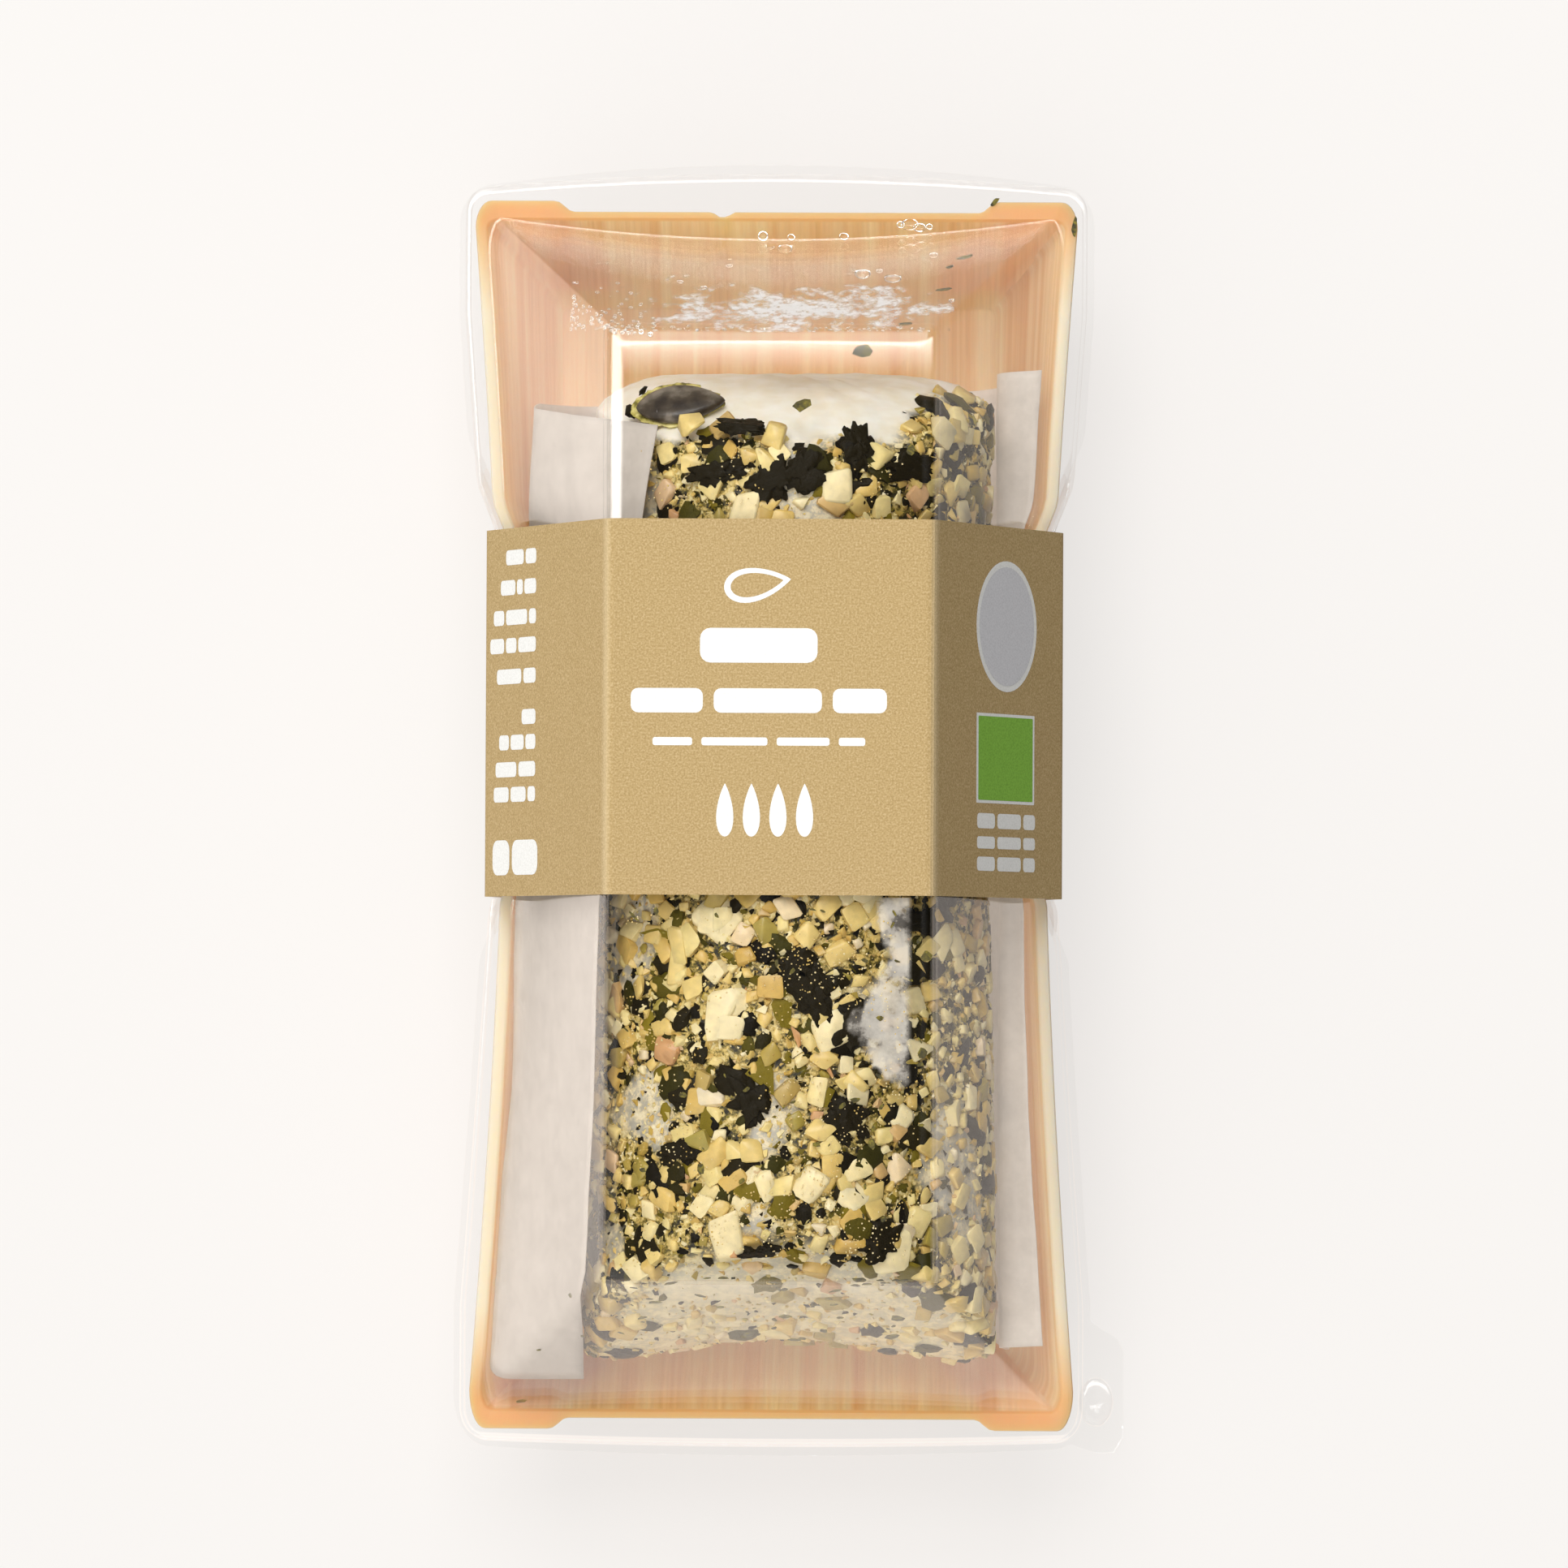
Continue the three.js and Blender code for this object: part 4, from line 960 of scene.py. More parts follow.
# What brings each shape to its full length, width and thickness
STRETCH = {
    kernel_chip: (1, 1 / 0.78, 1 / 0.6), torn_husk: (1.1, 1.1 / 0.8, 1.1 / 0.4), crumb: (1, 1, 1 / 0.6),
}
for name, places, make, finish, tint in (
    ("pale_kernel_pieces", LARGE_PALE, kernel_chip, kernel, 0.05),
    ("butter_kernel_pieces", LARGE_BUTTER, kernel_chip, kernel, 0.42),
    ("dark_husk_pieces", LARGE_DARK, torn_husk, husk, 0.3),
    ("olive_skin_pieces", LARGE_OLIVE, crumb, husk, 0.95),
    ("orange_bits", ORANGE_BITS, crumb, kernel, 1.0),
):
    laid = []
    for x, y, length, width, thickness, turn, sink in places:
        long, wide, thick = STRETCH[make]
        lay(laid, make(draw), x, y, (length * long, width * wide, thickness * thick), turn, sink)
    piece = joined(name, laid, finish, tint)
    press(piece.data, 0.5)
    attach(piece, "root")
    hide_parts("log")

# Whole seed
# One whole pumpkin seed in its dark skin, stuck flat on the bare upper face, with a torn fringe of pale skin
# showing past its upper edge.
SEED_PLACE = (-9.1, 39.5, 37.3)
SEED_LENGTH = 8.9
SEED_WIDTH = 4.9
SEED_THICKNESS = 1.9
SEED_FACING = (-0.12, 0.66, 0.74)
SEED_TURN = 0.05


def almond(length, width, thickness, ridge):
    """Rings of a flat seed that is pointed at one end, with a raised ridge round its edge."""
    rings = []
    for u in np.linspace(0.02, 0.98, 34):
        half = width / 2 * (math.sin(math.pi * u**0.85)) ** 0.72
        turn = 2 * np.pi * np.arange(28) / 28
        across = half * np.cos(turn)
        lift = thickness / 2 * math.sin(math.pi * u) ** 0.5
        edge = np.exp(-(((np.abs(np.cos(turn)) - 0.82) / 0.12) ** 2)) * ridge
        up = lift * np.sin(turn) + np.sign(np.sin(turn)) * edge * math.sin(math.pi * u)
        rings.append(np.stack([np.full_like(across, (u - 0.5) * length), across, up], axis=1))
    return rings


rings = almond(SEED_LENGTH, SEED_WIDTH, SEED_THICKNESS, 0.12)
points, faces = loft(rings, (-SEED_LENGTH / 2, 0, 0), (SEED_LENGTH / 2, 0, 0))
facing = Vector(SEED_FACING).normalized()
along = Vector((math.cos(SEED_TURN), 0, 0))
along = (along - facing * along.dot(facing)).normalized()
seed_frame = Matrix((along, facing.cross(along), facing)).transposed()
points = [Vector(SEED_PLACE) + seed_frame @ Vector(p) for p in points]

# Seed coat: brown black and smooth, with grey patches in its colour painted as the sheen on it
coat, tree = new_material("dark pumpkin seed coat")
place = add_node(tree, "TexCoord").outputs["Object"]
painted_sheen = add_node(tree, "TexNoise", {"Vector": place, "Scale": 420.0, "Detail": 4.0})
brown = add_node(
    tree, "ValToRGB", {"Fac": painted_sheen}, stops=[(0.35, "#281d11"), (0.66, "#7d7263"), (0.5, "#453a2b")],
)
fine = add_node(tree, "TexNoise", {"Vector": place, "Scale": 2500.0, "Detail": 3.0})
pores = add_node(tree, "Bump", {"Height": fine, "Strength": 0.3, "Distance": 0.08 * MM})
skin = add_node(tree, "BsdfPrincipled", {"Base Color": brown, "Roughness": 0.36, "Normal": pores})
add_node(tree, "OutputMaterial", {"Surface": skin})
seed = new_piece("whole_seed", points, faces, coat)
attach(seed, "root")
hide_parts("log")

fringe = almond(SEED_LENGTH + 0.9, SEED_WIDTH + 1.2, 0.5, 0)
points, faces = loft(fringe, (-SEED_LENGTH / 2 - 0.45, 0, 0), (SEED_LENGTH / 2 + 0.45, 0, 0))
torn = []
for p in points:
    ragged = 1 + 0.12 * noise.noise(Vector(p) * 0.9) + 0.06 * noise.noise(Vector(p) * 2.6)
    spot = Vector((p[0] * ragged - 0.4, p[1] * ragged + 0.5, p[2] - 0.55))
    torn.append(Vector(SEED_PLACE) + seed_frame @ spot)

# Inner skin of the seed: a pale yellow green film, thin and slightly oily
inner_skin, tree = new_material("pale inner seed skin")
place = add_node(tree, "TexCoord").outputs["Object"]
flecks = add_node(tree, "TexNoise", {"Vector": place, "Scale": 1200.0, "Detail": 4.0})
green = add_node(
    tree, "ValToRGB", {"Fac": flecks}, stops=[(0.36, "#6d6420"), (0.62, "#e2d48c"), (0.46, "#b8aa52")],
)
skin = add_node(tree, "BsdfPrincipled", {"Base Color": green, "Roughness": 0.4})
add_node(tree, "OutputMaterial", {"Surface": skin})
torn_skin = new_piece("torn_seed_skin", torn, faces, inner_skin)
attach(torn_skin, "root")
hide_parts("log")

bits = []
lay(bits, husk_scrap(draw), -14.0, 39.0, (1.2, 2.6, 3.4), 0.1, 0.2)
lay(bits, husk_scrap(draw), -12.9, 41.0, (0.5, 2.2, 1.2), -0.4, 0.0)
piece = joined("husk_beside_the_seed", bits, husk, 0.2)
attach(piece, "root")
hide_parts("log")

# Lid
# A clear sheet of polyester, heated and drawn into a shallow box with four sloping walls. A flange lies on
# the tray's rim, a skirt hangs outside it, and a tongue at the lower right corner pulls it off.
PANEL_CORNER = 0.8
CROWN_START = 39.5
CROWN_DROP = 0.27
SHOULDER_WIDTH = 1.2
SHOULDER_SLOPE = 0.36
EDGE_WIDTH = 0.6
WALL_SLOPE = 1.88
FOOT_BEND = 0.007
FOOT_CORNER = 1.3
FLANGE_HALF_LENGTH = 63.7
FLANGE_CORNER = 2
FLANGE_TURN = 0.42
SKIRT_HALF_LENGTH = 64.3
SKIRT_DEPTH = 4
SKIRT_CORNER = 2.6
LIP_HALF_WIDTH = 32.1
LIP_HALF_LENGTH = 65.2
LIP_CORNER = 3.6
LIP_WIDTH = 0.8
LIP_TUCK = 0.2
HIGH_END_BOW = 2.6
LOW_END_BOW = 1
FLANGE_BOW_SHARE = 0.6
TAB_ROOT = 29.5
TAB_EDGE = 35.5
TAB_TOP = -50.6
TAB_BOTTOM = -65
TAB_SHOULDER = 3.2
TAB_CORNER = 2


def wall_ring(down, z):
    """A level of the sloping walls: down is 0 at the edge of the front panel and 1 at their foot."""
    corner = mix(PANEL_CORNER, FOOT_CORNER, min(1, max(0, down)))
    straight = mix(PANEL_HALF_LENGTH, FOOT_HIGH[0], down) - corner
    foot_straight = FOOT_HIGH[0] - FOOT_CORNER
    half_width = mix(PANEL_HALF_WIDTH, float(foot_side(RIM_HALF_LENGTH)), down)

    def side(y):
        return mix(PANEL_HALF_WIDTH, foot_side(y / straight * foot_straight), down)

    def end(x, sign):
        return mix(PANEL_HALF_LENGTH, foot_end(x / half_width, sign), down)

    return plan_ring(side, end, corner, z, straight)


def rim_ring(inset, half_length, corner, z, bow_share):
    """A level of the flange, skirt or lip: inset is how far it lies inside the lip's edge."""

    def side(y):
        free = bowed_side(y, LIP_HALF_WIDTH - inset, 3.1, 50, 1.2)
        return np.minimum(free, room_in_sleeve(y, z) - inset * LIP_TUCK)

    half_width = float(side(np.array([half_length]))[0])

    def end(x, sign):
        return half_length - bow_share * (HIGH_END_BOW if sign > 0 else LOW_END_BOW) * (x / half_width) ** 2

    return plan_ring(side, end, corner, z, half_length - corner - bow_share * HIGH_END_BOW)


def with_tongue(ring, share):
    """Draws a level of the lip out to the tongue's edge at the lower right corner."""
    below = np.where((ring[:, 1] < 0) & (ring[:, 0] > TAB_ROOT))[0]
    low = [i for i in below if i > len(ring) / 2]
    high = [i for i in below if i < len(ring) / 2 and ring[i, 1] < TAB_TOP]
    chosen = low + high
    path = ring[chosen][:, :2]
    turn = np.linspace(-math.pi / 2, 0, 9)
    corner_x = TAB_EDGE - TAB_CORNER + TAB_CORNER * np.cos(turn)
    corner_y = TAB_BOTTOM + TAB_CORNER + TAB_CORNER * np.sin(turn)
    rise = np.linspace(0, 1, 12)[1:]
    shoulder_x = mix(TAB_EDGE, path[-1][0], smooth(rise))
    shoulder_y = mix(TAB_TOP - TAB_SHOULDER, path[-1][1], rise)
    edge_x = np.concatenate([[path[0][0]], corner_x, shoulder_x])
    edge_y = np.concatenate([[path[0][1]], corner_y, shoulder_y])
    edge = np.concatenate([[0], np.cumsum(np.hypot(np.diff(edge_x), np.diff(edge_y)))])
    along = np.concatenate([[0], np.cumsum(np.hypot(*np.diff(path, axis=0).T))])
    along = along / along[-1] * edge[-1]
    drawn = ring.copy()
    drawn[chosen, 0] = mix(path[:, 0], np.interp(along, edge, edge_x), share)
    drawn[chosen, 1] = mix(path[:, 1], np.interp(along, edge, edge_y), share)
    return drawn


def crowned(ring):
    """Lets the panel sag a little towards its upper end."""
    sunk = ring.copy()
    beyond = (ring[:, 1] - CROWN_START) / (PANEL_HALF_LENGTH - CROWN_START)
    sunk[:, 2] -= CROWN_DROP * np.clip(beyond, 0, 1) ** 3
    return sunk


panel_rings = []
for inset in (15.2, 13, 11, 9, 7, 5.5, 4.3, 3.3, 2.5, 1.9):
    straight = PANEL_HALF_LENGTH - inset - 0.2
    ring = plan_ring(
        lambda y: np.full_like(y, PANEL_HALF_WIDTH - inset),
        lambda x, sign: np.full_like(x, PANEL_HALF_LENGTH - inset), 0.2, LID_TOP, straight,
    )
    panel_rings.append(crowned(ring))
foot_rings = []
across_wall = float(foot_side(0)) - PANEL_HALF_WIDTH
for s in np.linspace(-SHOULDER_WIDTH, 0, 7):
    drop = SHOULDER_SLOPE / (2 * SHOULDER_WIDTH) * (s + SHOULDER_WIDTH) ** 2
    foot_rings.append(crowned(wall_ring(s / across_wall, LID_TOP - drop)))
for s in np.linspace(0, EDGE_WIDTH, 6)[1:]:
    turned = (WALL_SLOPE - SHOULDER_SLOPE) / (2 * EDGE_WIDTH) * s * s
    drop = SHOULDER_SLOPE * (SHOULDER_WIDTH / 2 + s) + turned
    foot_rings.append(crowned(wall_ring(s / across_wall, LID_TOP - drop)))
for down in (0.058, 0.08, 0.2, 0.4, 0.6, 0.8, 0.94, 0.982, 1 - FOOT_BEND):
    foot_rings.append(wall_ring(down, mix(LID_TOP, FLANGE_TOP, down)))
for t in np.linspace(0, 1, 6)[1:]:
    down = 1 + FOOT_BEND * (t * t - (1 - t) ** 2)
    foot_rings.append(wall_ring(down, mix(LID_TOP, FLANGE_TOP, 1 - FOOT_BEND * (1 - t) ** 2)))
skirt_foot = FLANGE_TOP - SKIRT_DEPTH
turned_rings = []
for t in np.linspace(0, 1, 7):
    turn = t * math.pi / 2
    inset = LIP_WIDTH + FLANGE_TURN * (1 - math.sin(turn))
    edge = FLANGE_HALF_LENGTH - FLANGE_TURN * (1 - math.sin(turn))
    z = FLANGE_TOP - FLANGE_TURN * (1 - math.cos(turn))
    turned_rings.append(rim_ring(inset, edge, FLANGE_CORNER, z, FLANGE_BOW_SHARE))
flange_foot = foot_rings[-1]
foot_rings += [mix(flange_foot, turned_rings[0], share) for share in (0.02, 0.1, 0.5, 0.9, 0.97)]
foot_rings += turned_rings
for t in (0.35, 0.7, 0.92, 1):
    foot_rings.append(
        rim_ring(
            LIP_WIDTH, mix(FLANGE_HALF_LENGTH, SKIRT_HALF_LENGTH, t), mix(FLANGE_CORNER, SKIRT_CORNER, t),
            mix(FLANGE_TOP - FLANGE_TURN, skirt_foot, t), FLANGE_BOW_SHARE,
        )
    )
for t in (0.3, 0.65, 0.97, 1):
    lip = rim_ring(
        LIP_WIDTH * (1 - t), mix(SKIRT_HALF_LENGTH, LIP_HALF_LENGTH, t), mix(SKIRT_CORNER, LIP_CORNER, t),
        skirt_foot, mix(FLANGE_BOW_SHARE, 1, t),
    )
    foot_rings.append(with_tongue(lip, t))

# Clear polyester: so thin that what lies behind it isn't bent, with a hard gloss that grows at a flat angle.
# It mirrors this share of the light seen straight on and at a flat angle, and throws no shadow of its own.
GLOSS_STRAIGHT = 0.02
GLOSS_FLAT = 0.27
film, tree = new_material("clear polyester film")
facing = add_node(tree, "LayerWeight", {"Blend": 0.5}).outputs["Facing"]
slant = add_node(tree, "Math", {0: facing, 1: 2.0}, operation="POWER")
shine = add_node(tree, "MapRange", {"Value": slant, "To Min": GLOSS_STRAIGHT, "To Max": GLOSS_FLAT})
gloss = add_node(tree, "BsdfGlossy", {"Color": linear("#ffffff"), "Roughness": 0.0})
open_way = add_node(tree, "BsdfTransparent", {"Color": (0.998, 0.998, 0.997, 1)})
clear = add_node(tree, "MixShader", {0: shine, 1: open_way, 2: gloss})
rays = add_node(tree, "LightPath")
lit = add_node(tree, "MixShader", {0: rays.outputs["Is Shadow Ray"], 1: clear, 2: open_way})
add_node(tree, "OutputMaterial", {"Surface": lit})

points, faces = loft(foot_rings[::-1] + panel_rings[::-1], None, (0, 0, LID_TOP))
lid = new_piece("clear_lid", points, faces, film, sharp=35)
wall = lid.modifiers.new("thickness", "SOLIDIFY")
wall.thickness = FILM * MM
wall.offset = -1
wall.use_even_offset = True
wall.use_quality_normals = True
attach(lid, "root")
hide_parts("lid")

# Grip ridge: a low oval blister drawn into the tongue
RIDGE_PLACE = (32.7, -59.6)
RIDGE_HALF = (1.75, 2.5)
RIDGE_PROFILE = ((1, 0), (0.94, 0.2), (0.84, 0.32), (0.66, 0.37), (0.4, 0.39))
turns = np.linspace(0, 2 * np.pi, 40, endpoint=False)
rings = []
for scale, lift in RIDGE_PROFILE:
    x = RIDGE_PLACE[0] + RIDGE_HALF[0] * scale * np.cos(turns)
    y = RIDGE_PLACE[1] + RIDGE_HALF[1] * scale * np.sin(turns)
    rings.append(np.stack([x, y, np.full_like(x, skirt_foot + lift)], axis=1))
points, faces = loft(rings, (*RIDGE_PLACE, skirt_foot), (*RIDGE_PLACE, skirt_foot + 0.4))
ridge = new_piece("grip_ridge", points, faces, film)
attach(ridge, "root")

# Inside of the lid
# What the log left on the film while it was packed: scraps of herb, wisps and a smear of cheese, and
# drops of whey. They stick to its inner side.
UNDER_FILM = 0.45


def film_height(x, y):
    """The height of the lid's outer side at a place seen from the front."""
    side = (abs(x) - PANEL_HALF_WIDTH) / (float(foot_side(y)) - PANEL_HALF_WIDTH)
    half_width = float(foot_side(RIM_HALF_LENGTH))
    foot = foot_end(x / half_width, y)
    end = (abs(y) - PANEL_HALF_LENGTH) / (foot - PANEL_HALF_LENGTH)
    return mix(LID_TOP, FLANGE_TOP, min(1, max(side, end, 0)))


def on_film(x, y, depth):
    """A point at a depth below the film's outer side, and the direction out of it."""
    step = 0.05
    slope_x = (film_height(x + step, y) - film_height(x - step, y)) / (2 * step)
    slope_y = (film_height(x, y + step) - film_height(x, y - step)) / (2 * step)
    normal = Vector((-slope_x, -slope_y, 1)).normalized()
    return Vector((x, y, film_height(x, y))) - normal * depth, normal


def stick(stock, shape, x, y, size, turn, depth=UNDER_FILM):
    """Adds a shape to a stock of pieces that stick to the inner side of the film."""
    point, normal = on_film(x, y, depth)
    level = normal.to_track_quat("Z", "Y").to_matrix().to_4x4()
    place = Matrix.Translation(point * MM) @ level @ Matrix.Rotation(turn, 4, "Z")
    place = place @ Matrix.Diagonal((*[v / 2 * MM for v in size], 1))
    mesh = bpy.data.meshes.new("stuck")
    shape.to_mesh(mesh)
    shape.free()
    mesh.transform(place)
    stock.append(mesh)


# Dried herb: olive green to brown leaf, thin and matt, with fine veins
herb, tree = new_material("dried herb leaf")
place = add_node(tree, "TexCoord").outputs["Object"]
veins = add_node(tree, "TexNoise", {"Vector": place, "Scale": 1500.0, "Detail": 4.0, "Distortion": 1.0})
leaf = add_node(
    tree, "ValToRGB", {"Fac": veins}, stops=[(0.35, "#2f2a03"), (0.65, "#857818"), (0.5, "#574e0a")],
)
skin = add_node(tree, "BsdfPrincipled", {"Base Color": leaf, "Roughness": 0.6})
add_node(tree, "OutputMaterial", {"Surface": skin})

FLAKE_THICKNESS = 0.9
# Place across and along, length, width and turn of the scraps that show
HERB_SCRAPS = [
    (8.8, 44.3, 2.9, 2.6, 0.1), (2.9, 39.0, 2.4, 2.4, 0.5), (30.0, 58.7, 2.4, 1.1, 1.5),
    (18.8, 55.5, 2.4, 1.8, 0.5), (17.4, 54.4, 1.5, 1.4, 0.9), (16.8, 51.7, 1.9, 1.5, 0.3),
    (13.0, 47.6, 2.3, 1.6, 0.4), (-20.0, -48.5, 0.9, 1.0, 1.2), (-18.5, -53.0, 0.5, 0.8, 0.8),
    (-22.9, -54.5, 0.6, 0.8, 0.2), (-25.1, -60.0, 1.3, 1.2, 0.3), (22.0, 61.2, 1.3, 1.0, 0.7),
    (-13.2, -11.2, 1.9, 0.5, -0.8), (15.4, -14.9, 1.5, 2.2, 1.2), (15.0, -24.4, 1.4, 1.8, 1.3),
    (3.0, -26.4, 1.5, 0.5, 0.6), (10.1, -33.2, 1.5, 1.4, 1.9), (-2.3, 36.0, 1.1, 1.2, 1.2),
    (13.6, 34.6, 1.5, 1.8, 1.3), (-6.6, -35.8, 1.4, 1.8, 1.1), (-8.4, -28.6, 0.8, 1.9, 1.5),
    (2.4, -29.2, 0.9, 0.6, 0.3), (8.5, -29.0, 1.3, 1.0, 0.1), (7.2, -29.6, 1.0, 0.9, 0.8),
]
herbs = []
for x, y, length, width, turn in HERB_SCRAPS:
    stick(herbs, herb_flake(draw), x, y, (length, width, FLAKE_THICKNESS), turn)
for _ in range(46):
    x = draw.uniform(-15, 16)
    y = -46.8 - 6.5 * draw.random() ** 1.6
    length = draw.uniform(0.5, 2.0)
    flake = herb_flake(draw)
    size = (length, length * draw.uniform(0.4, 1.2), FLAKE_THICKNESS)
    stick(herbs, flake, x, y, size, draw.gauss(0.1, 0.5))
for _ in range(40):
    x = draw.uniform(-14.5, 15)
    y = draw.uniform(-45, -10)
    length = draw.uniform(0.4, 1.0)
    flake = herb_flake(draw)
    size = (length, length * draw.uniform(0.5, 1.2), FLAKE_THICKNESS)
    stick(herbs, flake, x, y, size, draw.uniform(0, 3))
piece = joined("herb_on_the_lid", herbs, herb, 0.5)
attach(piece, "root")


def smear(name, x_range, y_range, step, cover, lift, material):
    """A thin ragged skin on the inner side of the film, kept where its cover is above zero."""
    xs = np.arange(*x_range, step)
    ys = np.arange(*y_range, step)
    covers = np.array([[cover(x, y) for x in xs] for y in ys])
    kept = covers > 0
    used = {}
    points, values, faces = [], [], []
    for r in range(len(ys) - 1):
        for c in range(len(xs) - 1):
            corners = [(r, c), (r, c + 1), (r + 1, c + 1), (r + 1, c)]
            if not any(kept[i] for i in corners):
                continue
            for i in corners:
                if i not in used:
                    used[i] = len(points)
                    share = float(min(1, max(0, covers[i])))
                    point, _ = on_film(float(xs[i[1]]), float(ys[i[0]]), UNDER_FILM - 0.02 + lift * share)
                    points.append(point)
                    values.append(share)
            faces.append([used[i] for i in corners])
    made = new_piece(name, points, faces, material)
    set_attribute(made.data, "cover", values)
    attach(made, "root")
    return made


def smear_material(name, light, dark, most, grain):
    """A moist film of cheese that lets the most light through where it is thinnest."""
    made, tree = new_material(name)
    place = add_node(tree, "TexCoord").outputs["Object"]
    lumps = add_node(tree, "TexNoise", {"Vector": place, "Scale": grain, "Detail": 5.0, "Roughness": 0.65})
    tones = add_node(tree, "ValToRGB", {"Fac": lumps}, stops=[(0.38, dark), (0.6, light)])
    body = add_node(tree, "BsdfPrincipled", {"Base Color": tones, "Roughness": 0.45})
    cover = add_node(tree, "Attribute", attribute_name="cover")
    patchy = add_node(
        tree, "MapRange", {"Value": lumps, "From Min": 0.36, "From Max": 0.6, "To Min": 0.3, "To Max": 2.2},
    )
    thick = add_node(tree, "Math", {0: cover.outputs["Fac"], 1: patchy}, operation="MULTIPLY")
    veil = add_node(tree, "MapRange", {"Value": thick, "To Max": most})
    gap = add_node(tree, "BsdfTransparent")
    skin = add_node(tree, "MixShader", {0: veil, 1: gap, 2: body})
    add_node(tree, "OutputMaterial", {"Surface": skin})
    return made


def wisp_cover(x, y):
    """Wisps lie in a band along the upper end wall, thickest right of its middle."""
    band = math.exp(-(((y - 49.3 - 0.02 * x) / 2.5) ** 2))
    spread = math.exp(-(((x - 3) / 14) ** 2))
    streak = noise.noise(Vector((x * 0.32, y * 0.8, 3.0)))
    streak += 0.7 * noise.noise(Vector((x * 1.2, y * 2.0, 8.0)))
    return (streak * 0.9 + 1.5 * band * spread - 0.6) * 0.85


def contact_cover(x, y):
    """The smear under the panel's right edge: widest below its middle, with a straight right side."""
    t = (y + 27.5) / 18.5
    left = 11.9 - 4.2 * math.exp(-(((t - 0.32) / 0.22) ** 2)) - 1.6 * math.exp(-(((t - 0.92) / 0.16) ** 2))
    ragged = 0.9 * noise.noise(Vector((x * 0.6, y * 0.45, 5.0)))
    ragged += 0.4 * noise.noise(Vector((x * 2, y * 1.6, 2.0)))
    inwards = min(x - left + ragged, 13.9 - x, (y + 27.5) * 0.8 + ragged, (-9.2 - y) * 0.9 + 0.6)
    return inwards * 1.1


wisps = smear_material("dried cheese wisps", "#ffffff", "#f4f2ee", 0.95, 1300.0)
smear("cheese_wisps_on_the_lid", (-18, 18), (46.6, 55.6), 0.18, wisp_cover, 0.12, wisps)
contact = smear_material("greasy cheese smear", "#f6efe2", "#c2bab0", 0.62, 300.0)
smear("contact_smear_on_the_lid", (7, 14.2), (-28, -9), 0.2, contact_cover, 0.05, contact)

# Drops: whey and condensed water, clear, small domes on the film. Place across and along, and size
DROPS = [
    (-1.35, 57.7, 1.0), (-0.6, 56.9, 0.6), (0.9, 56.8, 1.3), (1.5, 57.6, 0.6), (6.8, 57.7, 0.7),
    (8.75, 53.7, 1.4), (11.75, 53.1, 1.2), (10.4, 54.0, 0.6), (13.4, 58.9, 1.2), (14.4, 58.6, 0.9),
    (15.4, 58.7, 0.6), (15.8, 55.9, 0.8), (12.5, 58.9, 0.7), (-4.6, 54.6, 0.5), (-7.0, 51.9, 0.6),
    (-9.4, 52.6, 0.5), (17.6, 50.4, 0.5), (9.0, 50.8, 0.8),
]


def dome(roundness):
    """A drop: a low dome, closed below."""
    drop = bmesh.new()
    bmesh.ops.create_icosphere(drop, subdivisions=roundness, radius=1)
    for v in drop.verts:
        v.co.z = min(v.co.z, 0.25)
    return drop


drops = []
for x, y, size in DROPS:
    stick(drops, dome(3), x, y, (size * draw.uniform(1, 1.5), size, size * 0.8), draw.uniform(-0.3, 0.3))
for _ in range(130):
    x = -20.5 + 9 * draw.random() ** 1.3
    y = 46.8 + (x + 20.5) * -0.15 + abs(draw.gauss(0, 2.4))
    size = draw.uniform(0.15, 0.5)
    stick(drops, dome(2), x, y, (size, size, size * 0.7), 0)
for _ in range(150):
    x = draw.uniform(-15.5, 15.5)
    y = 46.7 + abs(draw.gauss(0, 0.35))
    size = draw.uniform(0.12, 0.32)
    stick(drops, dome(2), x, y, (size, size, size * 0.7), 0)

# Whey: clear, bends what lies behind it, and lets the light through without a shadow
water, tree = new_material("clear drops of whey")
skin = add_node(
    tree, "BsdfPrincipled",
    {"Base Color": (1, 1, 1, 1), "Roughness": 0.0, "IOR": 1.34, "Transmission Weight": 1.0},
)
open_way = add_node(tree, "BsdfTransparent")
rays = add_node(tree, "LightPath")
lit = add_node(tree, "MixShader", {0: rays.outputs["Is Shadow Ray"], 1: skin, 2: open_way})
add_node(tree, "OutputMaterial", {"Surface": lit})
piece = joined("drops_on_the_lid", drops, water, 0)
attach(piece, "root")

# Droplets of seed oil between the crust and the film, thickest low on the log, painted pale gold as their
# glint
BEADS = 1500
oil, tree = new_material("seed oil droplets with painted glints")
place = add_node(tree, "TexCoord").outputs["Object"]
shade = add_node(tree, "TexNoise", {"Vector": place, "Scale": 900.0, "Detail": 1.0})
gold = add_node(tree, "ValToRGB", {"Fac": shade}, stops=[(0.35, "#d9b765"), (0.65, "#f3e2b0")])
skin = add_node(tree, "BsdfPrincipled", {"Base Color": gold, "Roughness": 0.15})
add_node(tree, "OutputMaterial", {"Surface": skin})


def bead():
    """A tiny round droplet."""
    drop = bmesh.new()
    bmesh.ops.create_icosphere(drop, subdivisions=1, radius=1)
    return drop


